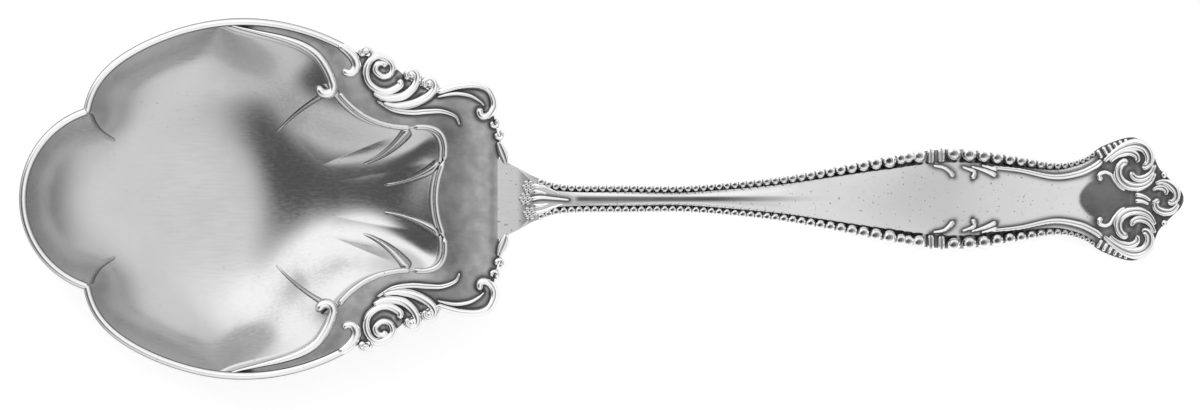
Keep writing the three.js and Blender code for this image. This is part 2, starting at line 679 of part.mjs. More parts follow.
// Handle: half width along its length, height of its ledge and the crown across it
const handleStart = neckReach + SEAM;
const fromTip = (distance) => TIP_REACH - distance;
const stemStart = handleStart + NECK_LENGTH;
const stemEnd = fromTip(STEM_END_FROM_TIP);
const bladeX = fromTip(BLADE_FROM_TIP);
const waistX = fromTip(WAIST_FROM_TIP);
const endX = fromTip(END_FROM_TIP);

const stretch = (fromX, fromHalf, toX, toHalf, curve) =>
  curve.map(([along, change]) => at(lerp(fromX, toX, along), lerp(fromHalf, toHalf, change)));

const handleEdge = smooth([
  ...stretch(handleStart, NECK_HALF, stemStart, STEM_HALF, NECK_CURVE),
  ...stretch(stemStart, STEM_HALF, stemEnd, STEM_HALF, STEM_CURVE),
  ...stretch(stemEnd, STEM_HALF, bladeX, BLADE_HALF, BLADE_CURVE),
  ...stretch(bladeX, BLADE_HALF, waistX, WAIST_HALF, WAIST_CURVE),
  ...stretch(waistX, WAIST_HALF, endX, END_HALF, END_CURVE),
  ...stretch(endX, END_HALF, TIP_REACH, TIP_HALF, TIP_CURVE),
], HANDLE_STATIONS);

function edgeAt(x) {
  const i = clamp(handleEdge.findIndex((p) => p.x >= x), 1, handleEdge.length - 1);
  const [a, b] = [handleEdge[i - 1], handleEdge[i]];
  return lerp(a.y, b.y, clamp((x - a.x) / (b.x - a.x), 0, 1));
}

// Cubic from height a to height b over a length, with the given slopes at its ends
function easedHeight(share, length, a, slopeA, b, slopeB) {
  const [s2, s3] = [share ** 2, share ** 3];
  return a * (2 * s3 - 3 * s2 + 1) + slopeA * length * (s3 - 2 * s2 + share)
    + b * (3 * s2 - 2 * s3) + slopeB * length * (s3 - s2);
}

const archX = fromTip(ARCH_FROM_TIP);
const lowX = fromTip(LOW_FROM_TIP);

function ledgeHeight(x) {
  if (x < archX) {
    const length = archX - neckReach;
    const share = (x - neckReach) / length;
    return easedHeight(share, length, rimHeight(neckReach), RIM_TILT, ARCH_HEIGHT, 0);
  }
  if (x < lowX) {
    const length = lowX - archX;
    return easedHeight((x - archX) / length, length, ARCH_HEIGHT, 0, HANDLE_THICKNESS, 0);
  }
  return HANDLE_THICKNESS + TIP_LIFT * ((x - lowX) / (TIP_REACH - lowX)) ** 2;
}

const beadStart = handleStart + NECK_TO_BEAD_DISTANCE;
const collarStart = fromTip(COLLAR_FROM_TIP) - COLLAR_LENGTH / 2;
const collarEnd = collarStart + COLLAR_LENGTH;
const beadEnd = fromTip(BEAD_TO_TIP_DISTANCE);

function beadRadius(x) {
  if (x < collarStart) {
    const grown = clamp((x - stemEnd) / (collarStart - stemEnd), 0, 1);
    return lerp(STEM_BEAD_RADIUS, BLADE_BEAD_RADIUS, grown ** BLADE_BEAD_POWER);
  }
  const shrunk = clamp((x - collarEnd) / (waistX + SMALLEST_PAST_WAIST - collarEnd), 0, 1);
  return lerp(BLADE_BEAD_RADIUS, WAIST_BEAD_RADIUS, shrunk ** WAIST_BEAD_POWER);
}

// Share of the bead ledge that is sunk in the handle's edge: none on the neck fan or the end
const ledgeShare = (x) => smoothstep(x, beadStart - LEDGE_RUN_OUT, beadStart)
  * (1 - smoothstep(x, beadEnd, beadEnd + LEDGE_RUN_OUT));
const ledgeWidth = (x) => beadRadius(x) * (2 - BEAD_OVERHANG_SHARE) + SEAM;
const fieldHalf = (x) => edgeAt(x) - lerp(PLAIN_EDGE, ledgeWidth(x), ledgeShare(x));
const crownAt = (x) => lerp(STEM_CROWN, BLADE_CROWN, smoothstep(x, stemEnd, bladeX))
  * smoothstep(x, handleStart, stemStart) * (1 - smoothstep(x, waistX, endX));

function fieldHeight(x, y) {
  const across = Math.min(Math.abs(y) / fieldHalf(x), 1);
  return ledgeHeight(x) + LEDGE_DEPTH * ledgeShare(x) + crownAt(x) * (1 - across ** CROWN_POWER);
}

function handleBody() {
  return loft(handleEdge.map(({ x, y: half }) => {
    const top = ledgeHeight(x);
    const inner = fieldHalf(x);
    const stem = smoothstep(x, handleStart, stemStart) * (1 - smoothstep(x, stemEnd, bladeX));
    const thick = HANDLE_THICKNESS + STEM_EXTRA * stem;
    const right = [
      [0, top - thick],
      [half * BACK_FLAT_SHARE, top - thick * BACK_ROUNDING_SHARE],
      [half, top - thick * EDGE_ROUNDING_SHARE],
      [half, top],
      [inner, top],
      ...CROWN_SHARES.map((share) => [inner * share, fieldHeight(x, inner * share)]),
      [0, fieldHeight(x, 0)],
    ];
    const left = right.slice(1, -1).reverse().map(([y, z]) => [-y, z]);
    return [...right, ...left].map(([y, z]) => new THREE.Vector3(x, y, z));
  }));
}

// Tongue: half-round below, flat above, from under the shoulder into the handle's body
function tongue() {
  return loft(steps(TONGUE_STEPS).map((share) => {
    const x = lerp(neckReach - TONGUE_REACH, neckReach + TONGUE_RUN, share);
    const lap = clamp((handleStart - x) / TONGUE_REACH, 0, TONGUE_TIP_SHARE);
    const half = edgeAt(x) * TONGUE_EDGE_SHARE * Math.sqrt(1 - lap ** 2);
    const depth = TONGUE_DEPTH * Math.sqrt(1 - Math.abs(2 * share - 1) ** 3 * TONGUE_TIP_SHARE);
    const top = rimHeight(x) - SHEET - SEAM;
    return steps(TONGUE_SIDES).map((turn) => {
      const angle = Math.PI * turn;
      return new THREE.Vector3(x, half * Math.cos(angle), top - depth * Math.sin(angle));
    });
  }));
}

// Bead wires: each bead is three stations of the wire, and the wire between them is thin
const onLedge = (x) => ledgeHeight(x) + SEAM;
const onField = (x, y) => fieldHeight(x, y) + SEAM;
const beadLine = (x, radius) => at(x, edgeAt(x) - radius * (1 - BEAD_OVERHANG_SHARE));

// A wire of given half widths, one for each point of its path, laid on the ledge
function beadedWire(path, halves) {
  const size = (share) => halves[Math.round(share * (halves.length - 1))];
  return ridge(path, size, (share) => BEAD_RISE_SHARE * size(share), onLedge, LOW_SIDES);
}

function beadWire(from, to) {
  const starts = [from];
  while (starts.at(-1) < to) {
    const x = starts.at(-1);
    const radius = beadRadius(x);
    const slope = (edgeAt(x + radius) - edgeAt(x - radius)) / (2 * radius);
    starts.push(x + (2 * radius) / Math.hypot(1, slope));
  }
  const fit = (to - from) / (starts.at(-1) - from);
  const fitted = starts.map((x) => from + (x - from) * fit);
  const path = [];
  const halves = [];
  for (let i = 0; i + 1 < fitted.length; i += 1) {
    for (const [share, size] of BEAD_PROFILE) {
      const x = lerp(fitted[i], fitted[i + 1], share);
      path.push(beadLine(x, beadRadius(x)));
      halves.push(beadRadius(x) * size);
    }
  }
  return beadedWire(path, halves);
}

// Collar: a bead, a double bead, two upright bars and a bead, strung on one wire
function collar() {
  const whole = COLLAR_SIZES.reduce((sum, [length]) => sum + length, 0);
  const scale = (COLLAR_LENGTH - 2 * SEAM) / whole;
  const path = [];
  const halves = [];
  let x = collarStart + SEAM;
  for (const [length, half] of COLLAR_SIZES) {
    for (const [share, size] of COLLAR_PROFILE) {
      path.push(at(x + share * length * scale, beadLine(x, BLADE_BEAD_RADIUS).y));
      halves.push(Math.min(half * size, BLADE_BEAD_RADIUS));
    }
    x += length * scale;
  }
  return beadedWire(path, halves);
}

// Leaves that spring from one root beside the collar
function sprig() {
  const rootX = bladeX + SPRIG_PAST_BLADE;
  const root = at(rootX, fieldHalf(rootX) - SPRIG_INSET);
  const size = swelling(SPRIG_HALF / 2, SPRIG_HALF);
  return unite(SPRIG_LEAVES.map(([along, across, bow]) => {
    const tip = at(root.x + along, root.y + across);
    return ridge(bowed(root, tip, bow, CURL_STEPS), size, size, onField, LOW_SIDES);
  }));
}

// Border line: it starts past the leaves, follows the waist and turns in before the end volute
function borderFillet() {
  const start = bladeX + FILLET_PAST_BLADE;
  const bend = endCentre.x - END_VOLUTE_RADIUS - FILLET_HALF - SEAM;
  const path = steps(FILLET_STEPS).map((share) => {
    const x = lerp(start, bend, share);
    return at(x, fieldHalf(x) - FILLET_INSET - FILLET_TURN_IN * smoothstep(x, waistX, bend));
  });
  const size = swelling(FILLET_TIP_HALF, FILLET_HALF);
  return ridge(path, size, size, onField);
}

function palmette() {
  const root = at(handleStart + PALMETTE_PAST_NECK, 0);
  return unite(PALMETTE_PETALS.map(([degrees, length, half]) => {
    const tip = polar(length, degrees).add(root);
    const path = steps(CURL_STEPS).map((share) => root.clone().lerp(tip, share));
    const size = (share) => half * lerp(PETAL_STALK_SHARE, 1, Math.sin(Math.PI * share ** 2));
    return ridge(path, size, size, onField, LOW_SIDES);
  }));
}

// End of the handle: pinwheels of curved arms that wind into the middle of a low disc
const tipCentre = at(fromTip(TIP_VOLUTE_RADIUS), 0);
const endCentre = polar(TIP_VOLUTE_RADIUS + END_VOLUTE_RADIUS + SEAM, END_VOLUTE_ANGLE).add(tipCentre);

function pinwheel(centre, radius, firstArm, extra) {
  const onDisc = (x, y) => onField(x, y) + DISC_RISE / 2;
  const ring = (rise) => arc(centre, radius * DISC_SHARE, 0, 360, DISC_SIDES).slice(1).map((p) =>
    new THREE.Vector3(p.x, p.y, onField(p.x, p.y) + rise));
  const half = tapered(radius * ARM_HALF_SHARE, radius * ARM_TIP_SHARE);
  const rise = swelling(ARM_RISE / 2, ARM_RISE);
  const arms = steps(PINWHEEL_ARMS).slice(1).map((turn) => {
    const [outer, inner] = [radius * ARM_START_SHARE, radius * ARM_END_SHARE];
    const path = spiral(centre, outer, inner, firstArm + 360 * turn, ARM_SWEEP / 360, ARM_STEPS);
    return ridge(path, half, rise, onDisc, LOW_SIDES);
  });
  return unite([loft([ring(0), ring(DISC_RISE)]), ...arms, extra]);
}

// Side volute with the small acanthus curl that springs from it towards the panel
function endVolute() {
  const curlReach = END_VOLUTE_RADIUS + ACANTHUS_RADIUS / 2;
  const curlCentre = at(endCentre.x - curlReach, endCentre.y - ACANTHUS_DROP);
  const root = polar(END_VOLUTE_RADIUS * ARM_START_SHARE, ACANTHUS_ROOT_ANGLE).add(endCentre);
  const curl = joined(
    [root],
    spiral(
      curlCentre, ACANTHUS_RADIUS, ACANTHUS_RADIUS * CURL_CLOSE_SHARE,
      ACANTHUS_START, -CURL_TURNS, CURL_STEPS),
  );
  const acanthus = ridge(
    curl, tapered(ACANTHUS_HALF, ACANTHUS_HALF / 2), constant(ARM_RISE / 2), onField, LOW_SIDES);
  return pinwheel(endCentre, END_VOLUTE_RADIUS, END_ARM_START, acanthus);
}

function tipVolute() {
  const leafTip = at(tipCentre.x - 2 * TIP_VOLUTE_RADIUS, 0);
  const size = tapered(TIP_LEAF_HALF, TIP_LEAF_POINT_HALF);
  const leaf = ridge([tipCentre, leafTip], size, size, onField, LOW_SIDES);
  return pinwheel(tipCentre, TIP_VOLUTE_RADIUS, TIP_ARM_START, leaf);
}

// Assembly
const spoon = new THREE.Group();
spoon.name = "berry_spoon";

function add(name, geometry, material) {
  const mesh = new THREE.Mesh(geometry, material);
  mesh.name = name;
  spoon.add(mesh);
}

function addPair(name, geometry, material) {
  add(`right_${name}`, geometry, material);
  add(`left_${name}`, mirror(geometry), material);
}

add("bowl", bowlShell(), POLISHED);
add("shoulder", shoulderPlate(), POLISHED);
add("handle", unite([handleBody(), tongue()]), POLISHED);
add("front_rim", frontRim(), POLISHED);
addPair("rim", sideRim(), POLISHED);
addPair("rib", lobeRib(), POLISHED);
add("heel_moulding", heelMoulding(), POLISHED);
addPair("volute_group", voluteGroup(), STRUCK);
addPair("corner_scroll", cornerScroll(), STRUCK);
add("neck_palmette", palmette(), STRUCK);
addPair("stem_beads", beadWire(beadStart, collarStart - SEAM), STRUCK);
addPair("collar", collar(), STRUCK);
addPair("end_beads", beadWire(collarEnd, beadEnd), STRUCK);
addPair("sprig", sprig(), STRUCK);
addPair("fillet", borderFillet(), STRUCK);
addPair("end_volute", endVolute(), STRUCK);
add("tip_volute", tipVolute(), STRUCK);

export default spoon;
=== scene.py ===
"""Looks of a silver berry spoon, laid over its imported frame.

Sizes are millimetres and plan places are measured from the middle of the flat under the bowl.
Meshes are made in metres. A share runs from 0 to 1.
"""
import logging
import math
from collections.abc import Callable, Sequence
from dataclasses import dataclass, field
from enum import Enum
from typing import ClassVar

import bmesh
import bpy
import numpy as np
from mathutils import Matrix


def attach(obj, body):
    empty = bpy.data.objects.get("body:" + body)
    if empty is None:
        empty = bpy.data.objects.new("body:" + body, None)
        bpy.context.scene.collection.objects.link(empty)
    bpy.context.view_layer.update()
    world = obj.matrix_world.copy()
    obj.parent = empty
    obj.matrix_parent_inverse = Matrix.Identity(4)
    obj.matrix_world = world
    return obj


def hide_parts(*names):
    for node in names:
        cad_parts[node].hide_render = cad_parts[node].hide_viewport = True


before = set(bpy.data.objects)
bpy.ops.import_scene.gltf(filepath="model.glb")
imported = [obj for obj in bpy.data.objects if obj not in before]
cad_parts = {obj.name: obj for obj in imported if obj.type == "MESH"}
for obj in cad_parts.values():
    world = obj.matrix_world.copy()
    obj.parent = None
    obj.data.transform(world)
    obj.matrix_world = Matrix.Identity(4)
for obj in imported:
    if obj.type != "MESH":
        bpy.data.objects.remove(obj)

MM = 0.001
# Name of a darkening kept on each vertex: tarnish in hollows, and also painted shade and painted reflections.
TARNISH_AND_SHADE = "tarnish_and_shade"
BEAD_RADIUS = "bead_radius"
BODY = "root"
ORIGIN = (0.0, 0.0)
FEWEST_STEPS = 4
DOT_REACH = 0.9

Array = np.ndarray
Pair = tuple[float, float]
Points = tuple[Pair, ...]
Shares = Callable[[Array], Array]
Floor = Callable[[Array], Array]
Piece = bpy.types.Object
Material = bpy.types.Material
Socket = bpy.types.NodeSocket


# Plan paths

def plan(*points: Sequence[float]) -> Array:
    """Plan points as one array."""
    return np.array(points, float)


def around(centre: Sequence[float], reach: Array, degrees: Array) -> Array:
    """Plan points about a centre.

    Args:
        centre: Plan point that they lie round.
        reach: Distance of each one from the centre.
        degrees: Angle of each one.

    Returns:
        The points, one row each.
    """
    turn = np.radians(degrees)
    return np.array(centre, float) + reach[:, None] * np.column_stack([np.cos(turn), np.sin(turn)])


def arc(centre: Sequence[float], radius: float, start: float, stop: float, count: int) -> Array:
    """Points of an arc, both ends included.

    Args:
        centre: Plan point that the arc goes round.
        radius: Radius of the arc.
        start: First angle in degrees.
        stop: Last angle in degrees.
        count: Number of steps.

    Returns:
        The points, one row each.
    """
    degrees = np.linspace(start, stop, count + 1)
    return around(centre, np.full_like(degrees, radius), degrees)


def spiral(centre: Sequence[float], radius: float, end_radius: float, start: float, turns: float,
           count: int) -> Array:
    """Points of a spiral that turns clockwise while its radius changes evenly.

    Args:
        centre: Plan point that the spiral goes round.
        radius: Radius at its start.
        end_radius: Radius at its end.
        start: First angle in degrees.
        turns: Whole turns, clockwise.
        count: Number of steps.

    Returns:
        The points, one row each.
    """
    share = np.linspace(0, 1, count + 1)
    return around(centre, mixed(radius, end_radius, share), start - 360 * turns * share)


def bowed(a: Array, b: Array, bow: float, count: int) -> Array:
    """A bowed line from a to b, with a positive bow to the left of the way.

    Args:
        a: First point.
        b: Last point.
        bow: Height of the bow.
        count: Number of steps.

    Returns:
        The points, one row each.
    """
    way = b - a
    side = np.array([-way[1], way[0]]) / np.hypot(*way)
    control = (a + b) / 2 + 2 * bow * side
    t = np.linspace(0, 1, count + 1)[:, None]
    return (1 - t) ** 2 * a + 2 * t * (1 - t) * control + t ** 2 * b


def spline(points: Array, count: int) -> Array:
    """A smooth curve through points, a Catmull-Rom spline of even speed.

    Args:
        points: The points that it goes through.
        count: Number of steps along it.

    Returns:
        The points, one row each.
    """
    padded = np.vstack([2 * points[0] - points[1], points, 2 * points[-1] - points[-2]])
    place = np.linspace(0, len(points) - 1, count + 1)
    i = np.minimum(place.astype(int), len(points) - 2)
    t = (place - i)[:, None]
    p0, p1, p2, p3 = (padded[i + k] for k in range(4))
    return 0.5 * (2 * p1 + (p2 - p0) * t + (2 * p0 - 5 * p1 + 4 * p2 - p3) * t ** 2
                  + (3 * p1 - p0 - 3 * p2 + p3) * t ** 3)


@dataclass(frozen=True)
class Curve:
    """A smooth plan curve: the points that it goes through and its number of steps."""

    points: Points
    steps: int = 30

    def path(self) -> Array:
        """The curve's points, one row each."""
        return spline(plan(*self.points), self.steps)


def joined(*paths: Array) -> Array:
    """Paths end to end, without the points that they share."""
    return np.vstack([path if i == 0 else path[1:] for i, path in enumerate(paths)])


def lengths(path: Array) -> Array:
    """Distance along a path at each of its points."""
    return np.concatenate([[0.0], np.cumsum(np.hypot(*np.diff(path, axis=0).T))])


def resampled(path: Array, count: int) -> Array:
    """A path with points at even distances, both ends kept.

    Args:
        path: The path.
        count: Number of steps.

    Returns:
        The points, one row each.
    """
    along = lengths(path)
    wanted = np.linspace(0, along[-1], count + 1)
    return np.column_stack([np.interp(wanted, along, path[:, k]) for k in range(2)])


def even(path: Array, step: float) -> Array:
    """A path with points at even distances of about a step."""
    return resampled(path, max(int(round(lengths(path)[-1] / step)), FEWEST_STEPS))


def left_of(path: Array) -> Array:
    """Unit vectors to the left of the way along a path.

    Args:
        path: The path.

    Returns:
        One vector for each of its points.
    """
    way = np.gradient(path, axis=0)
    side = np.column_stack([-way[:, 1], way[:, 0]])
    return side / np.hypot(*side.T)[:, None]


def mirrored(path: Array) -> Array:
    """A path on the other side of the spoon."""
    return path * np.array([1.0, -1.0])


def smoothstep(x: Array, low: float, high: float) -> Array:
    """0 below low, 1 above high and an even S between them."""
    t = np.clip((x - low) / (high - low), 0, 1)
    return t * t * (3 - 2 * t)


def mixed(a: Array | float, b: Array | float, share: Array) -> Array:
    """Values between a and b."""
    return a + (b - a) * share


def bell(x: Array, half: float, power: int = 2) -> Array:
    """1 in the middle, fading on both sides over about a half width."""
    return np.exp(-(x / half) ** power)


def nearest(points: Array, path: Array) -> tuple[Array, Array]:
    """Distance from plan points to a path, and where on the path they are nearest.

    Args:
        points: Plan points, one row each.
        path: The path.

    Returns:
        Distances, and shares of the way along the path.
    """
    best = np.full(len(points), np.inf)
    place = np.zeros(len(points))
    last = len(path) - 1
    for i in range(last):
        way = path[i + 1] - path[i]
        t = np.clip((points - path[i]) @ way / (way @ way), 0, 1)
        gap = np.hypot(*(points - path[i] - t[:, None] * way).T)
        closer = gap < best
        best[closer] = gap[closer]
        place[closer] = ((i + t) / last)[closer]
    return best, place


# Sizes along a stroke

def constant(value: float) -> Shares:
    """The same size all the way."""
    return lambda share: np.full_like(share, value)


def tapered(start: float, stop: float) -> Shares:
    """A size that changes evenly."""
    return lambda share: mixed(start, stop, share)


def fading(start: float) -> Shares:
    """A size that fades to nothing, at first slowly."""
    return lambda share: start * (1 - share ** 2)


def swelling(ends: float, middle: float) -> Shares:
    """A size that grows to the middle of the way and shrinks again."""
    return lambda share: mixed(ends, middle, np.sin(np.pi * share))


# Meshes

class Profile(Enum):
    """Cross-sections of an ornament's strokes."""

    ROUND = "round"
    BAND = "band"
    SOFT = "soft"
    WEDGE = "wedge"
    SLOT = "slot"

    def heights(self, across: Array) -> Array:
        """Height of the section at places across it.

        Args:
            across: Places from -1 to 1.

        Returns:
            Heights as shares of the stroke's rise.
        """
        dome = np.sqrt(np.clip(1 - across ** 2, 0, 1))
        if self is Profile.SOFT:
            return dome ** SOFT_POWER
        if self is Profile.WEDGE:
            return (1 - across) / 2
        if self in GROOVES:
            groove = GROOVES[self]
            return dome * (1 - groove.depth * bell(across, groove.half, groove.power))
        return dome

    def core(self, across: Array) -> Array:
        """Tarnish in the groove along the middle of a section.

        Args:
            across: Places from -1 to 1.

        Returns:
            Shares of tarnish.
        """
        if self not in GROOVES:
            return np.zeros_like(across)
        return GROOVE_TARNISH * bell(across, GROOVES[self].tarnish_half)


@dataclass(frozen=True)
class Groove:
    """A groove along the middle of a stroke, in shares of the stroke's rise and half width."""

    depth: float
    half: float
    power: int
    tarnish_half: float


SOFT_POWER = 3
GROOVE_TARNISH = 0.85
GROOVES = {
    Profile.BAND: Groove(depth=0.5, half=0.2, power=2, tarnish_half=0.15),
    Profile.SLOT: Groove(depth=0.7, half=0.2, power=4, tarnish_half=0.32),
}


@dataclass
class Stroke:
    """One line of relief: a plan path with a half width and a rise along it."""

    path: Array
    half: Shares
    rise: Shares
    profile: Profile = Profile.ROUND
    step: ClassVar[float] = 0.25
    # A round end is cut off here, before it closes to a point.
    end_start: ClassVar[float] = 0.02
    thinnest: ClassVar[float] = 0.05
    smallest_end: ClassVar[float] = 0.02

    def __post_init__(self) -> None:
        """Spaces the path's points evenly."""
        self.path = even(self.path, self.step)

    def sizes(self) -> tuple[Array, Array]:
        """Half width and rise at each point of the path, with both ends rounded off.

        Returns:
            Half widths and rises.
        """
        along = lengths(self.path)
        share = along / along[-1]
        half, rise = self.half(share), self.rise(share)
        to_end = np.minimum(along, along[-1] - along)
        inset = 1 - np.clip((to_end + self.end_start) / np.maximum(half, self.thinnest), 0, 1)
        rounded = np.sqrt(np.clip(1 - inset ** 2, self.smallest_end, 1))
        return half * rounded, rise * rounded

    def mirrored(self) -> "Stroke":
        """The same stroke on the other side of the spoon."""
        return Stroke(mirrored(self.path), self.half, self.rise, self.profile)


def on_the_left(strokes: Sequence[Stroke]) -> list[Stroke]:
    """The same strokes on the other side of the spoon."""
    return [stroke.mirrored() for stroke in strokes]


def on_both_sides(strokes: Sequence[Stroke]) -> list[Stroke]:
    """Strokes of the right side, and the same ones on the left."""
    return [*strokes, *on_the_left(strokes)]


@dataclass
class Skin:
    """Vertices, faces and darkening of one piece while it is made: tarnish, and painted shade and
    reflections.
    """

    points: list[Array] = field(default_factory=list)
    tarnish_and_shade: list[Array] = field(default_factory=list)
    faces: list[tuple[int, ...]] = field(default_factory=list)
    count: int = 0
    # A stroke's underside lies this far below its seat.
    sink: ClassVar[float] = 0.3
    section_points: ClassVar[int] = 13
    # Shares of tarnish that are lost for each share of a stroke's rise.
    tarnish_fall: ClassVar[float] = 2.2

    def add_points(self, points: Array, tarnish_and_shade: Array) -> int:
        """Adds vertices and gives the number of the first one.

        Args:
            points: Places in millimetres, one row each.
            tarnish_and_shade: Share of darkening at each of them, from tarnish and from painted shade.

        Returns:
            The first vertex's number.
        """
        first = self.count
        self.points.append(points)
        self.tarnish_and_shade.append(np.broadcast_to(tarnish_and_shade, len(points)))
        self.count += len(points)
        return first

    def add_tube(self, rings: Array, tarnish_and_shade: Array) -> None:
        """Adds a closed tube with both ends capped.

        Args:
            rings: Places, an array of rings, points and coordinates.
            tarnish_and_shade: Share of darkening at each place, from tarnish and from painted shade.
        """
        rows, columns = rings.shape[:2]
        first = self.add_points(rings.reshape(-1, 3), tarnish_and_shade.reshape(-1))
        number = first + np.arange(rows * columns).reshape(rows, columns)
        after = np.roll(number, -1, axis=1)
        quads = np.stack([number[:-1], after[:-1], after[1:], number[1:]], axis=-1)
        self.faces.extend(map(tuple, quads.reshape(-1, 4).tolist()))
        for end, ring in ((0, number[0][::-1]), (-1, number[-1])):
            hub = self.add_points(rings[end].mean(axis=0)[None], tarnish_and_shade[end].mean()[None])
            self.faces.extend((int(a), int(b), hub) for a, b in zip(ring, np.roll(ring, -1)))

    def add_stroke(self, stroke: Stroke, floor: Floor) -> None:
        """Adds a stroke of relief whose underside is sunk in a floor.

        Args:
            stroke: The stroke.
            floor: Height of its seat at plan points.
        """
        half, rise = stroke.sizes()
        across = np.cos(np.linspace(0, np.pi, self.section_points))
        height = stroke.profile.heights(across)
        side = left_of(stroke.path)
        flat = stroke.path[:, None] + side[:, None] * (half[:, None] * across)[..., None]
        z = floor(flat.reshape(-1, 2)).reshape(flat.shape[:2])
        top = np.dstack([flat, z + rise[:, None] * height])
        under = np.dstack([flat[:, [-1, 0]], z[:, [-1, 0]] - self.sink])
        foot = np.clip(1 - height * self.tarnish_fall, 0, 1)
        stain = np.concatenate([np.maximum(foot, stroke.profile.core(across)), [1.0, 1.0]])
        self.add_tube(np.concatenate([top, under], axis=1), np.tile(stain, (len(top), 1)))

    def add(self, other: "Skin") -> None:
        """Adds another skin's vertices and faces.

        Args:
            other: The other skin.
        """
        self.points.extend(other.points)
        self.tarnish_and_shade.extend(other.tarnish_and_shade)
        self.faces.extend(tuple(self.count + i for i in face) for face in other.faces)
        self.count += other.count

    def mirrored(self) -> "Skin":
        """The same skin on the other side of the spoon.

        Returns:
            A new skin.
        """
        flip = np.array([1.0, -1.0, 1.0])
        faces = [face[::-1] for face in self.faces]
        return Skin([p * flip for p in self.points], list(self.tarnish_and_shade), faces, self.count)

    def build(self, name: str, material: Material) -> Piece:
        """Makes the piece's object, smooth and facing out.

        Args:
            name: The piece's name.
            material: Its finish.

        Returns:
            The new object.
        """
        mesh = bpy.data.meshes.new(name)
        mesh.from_pydata((np.vstack(self.points) * MM).tolist(), [], self.faces)
        layer = mesh.attributes.new(TARNISH_AND_SHADE, "FLOAT", "POINT")
        layer.data.foreach_set("value", np.concatenate(self.tarnish_and_shade).astype(np.float32))
        shell = bmesh.new()
        shell.from_mesh(mesh)
        bmesh.ops.recalc_face_normals(shell, faces=shell.faces)
        shell.to_mesh(mesh)
        shell.free()
        mesh.shade_smooth()
        mesh.materials.append(material)
        return placed(name, mesh)


def placed(name: str, data: bpy.types.ID) -> Piece:
    """Makes an object in the scene.

    Args:
        name: The object's name.
        data: Its mesh or camera.

    Returns:
        The new object.
    """
    made = bpy.data.objects.new(name, data)
    bpy.context.scene.collection.objects.link(made)
    return made


def relief(strokes: Sequence[Stroke], floor: Floor) -> Skin:
    """A skin of strokes that are seated in one floor.

    Args:
        strokes: The strokes.
        floor: Height of their seat at plan points.

    Returns:
        The skin.
    """
    skin = Skin()
    for stroke in strokes:
        skin.add_stroke(stroke, floor)
    return skin


def merged(piece: Piece, other: Piece) -> Piece:
    """Makes one piece of two, in the first one's name and finish.

    Args:
        piece: The first piece.
        other: The other piece.

    Returns:
        The new piece.
    """
    skin = Skin()
    for mesh in (piece.data, other.data):
        part = Skin()
        places = np.empty(3 * len(mesh.vertices))
        mesh.vertices.foreach_get("co", places)
        tarnish_and_shade = np.empty(len(mesh.vertices))
        mesh.attributes[TARNISH_AND_SHADE].data.foreach_get("value", tarnish_and_shade)
        part.add_points(places.reshape(-1, 3) / MM, tarnish_and_shade)
        part.faces = [tuple(face.vertices) for face in mesh.polygons]
        skin.add(part)
    name, finish = piece.name, piece.data.materials[0]
    for used in (piece, other):
        bpy.data.objects.remove(used)
    return skin.build(name, finish)


def dot(place: Sequence[float], half: float, rise: float) -> Stroke:
    """A bead of relief."""
    reach = np.array([half * DOT_REACH, 0.0])
    return Stroke(np.array([place - reach, place + reach]), constant(half), constant(rise))


def near_strokes(points: Array, strokes: Sequence[Stroke], reach: float) -> Array:
    """Tarnish that gathers on a surface beside strokes of relief.

    Args:
        points: Plan points of the surface.
        strokes: The strokes that stand on it.
        reach: How far the tarnish spreads from their edges.

    Returns:
        Share of tarnish at each point.
    """
    gap = np.full(len(points), np.inf)
    for stroke in strokes:
        half = stroke.sizes()[0]
        distance, place = nearest(points, stroke.path)
        edge = np.interp(place, np.linspace(0, 1, len(half)), half)
        gap = np.minimum(gap, distance - edge)
    return bell(np.clip(gap, 0, None), reach)


# Node trees

class Graph:
    """A node tree with short calls that add a node and link it."""

    def __init__(self, tree: bpy.types.NodeTree) -> None:
        """Empties the tree and keeps it."""
        tree.nodes.clear()
        self.tree = tree

    def node(self, kind: str, inputs: dict | None = None, **settings: object) -> bpy.types.Node:
        """Adds a node.

        Args:
            kind: The node's type.
            inputs: Values or sockets for its inputs, by name or number.
            settings: The node's own settings.

        Returns:
            The new node.
        """
        made = self.tree.nodes.new(kind)
        for name, value in settings.items():
            setattr(made, name, value)
        for key, value in (inputs or {}).items():
            if isinstance(value, Socket):
                self.tree.links.new(value, made.inputs[key])
            else:
                made.inputs[key].default_value = value
        return made

    def math(self, operation: str, a: object, b: object = 0.0) -> Socket:
        """The result of a Math node."""
        return self.node("ShaderNodeMath", {0: a, 1: b}, operation=operation).outputs[0]

    def ramp(self, value: object, low: float, high: float, to_low: float, to_high: float) -> Socket:
        """A value mapped smoothly from one range to another.

        Args:
            value: The value.
            low: Where the range starts.
            high: Where it ends.
            to_low: Result at the start.
            to_high: Result at the end.

        Returns:
            The result's socket.
        """
        inputs = {"Value": value, "From Min": low, "From Max": high, "To Min": to_low, "To Max": to_high}
        return self.node("ShaderNodeMapRange", inputs, interpolation_type="SMOOTHSTEP").outputs["Result"]

    def blend(self, share: object, a: object, b: object) -> Socket:
        """A value between a and b."""
        made = self.node("ShaderNodeMix", {"Factor": share, "A": a, "B": b}, data_type="FLOAT")
        return made.outputs["Result"]

    def weighed(self, a: object, a_weight: object, b: object, b_weight: object) -> Socket:
        """The sum of two values, each times its weight."""
        return self.math("ADD", self.math("MULTIPLY", a, a_weight), self.math("MULTIPLY", b, b_weight))

    def noise(self, place: Socket, scale: float, detail: float) -> Socket:
        """A noise over a surface."""
        inputs = {"Vector": place, "Scale": scale, "Detail": detail}
        return self.node("ShaderNodeTexNoise", inputs).outputs["Fac"]

    def grey(self, value: Socket) -> Socket:
        """A grey colour."""
        return self.node("ShaderNodeCombineColor", {"Red": value, "Green": value, "Blue": value}).outputs[0]


# Finishes

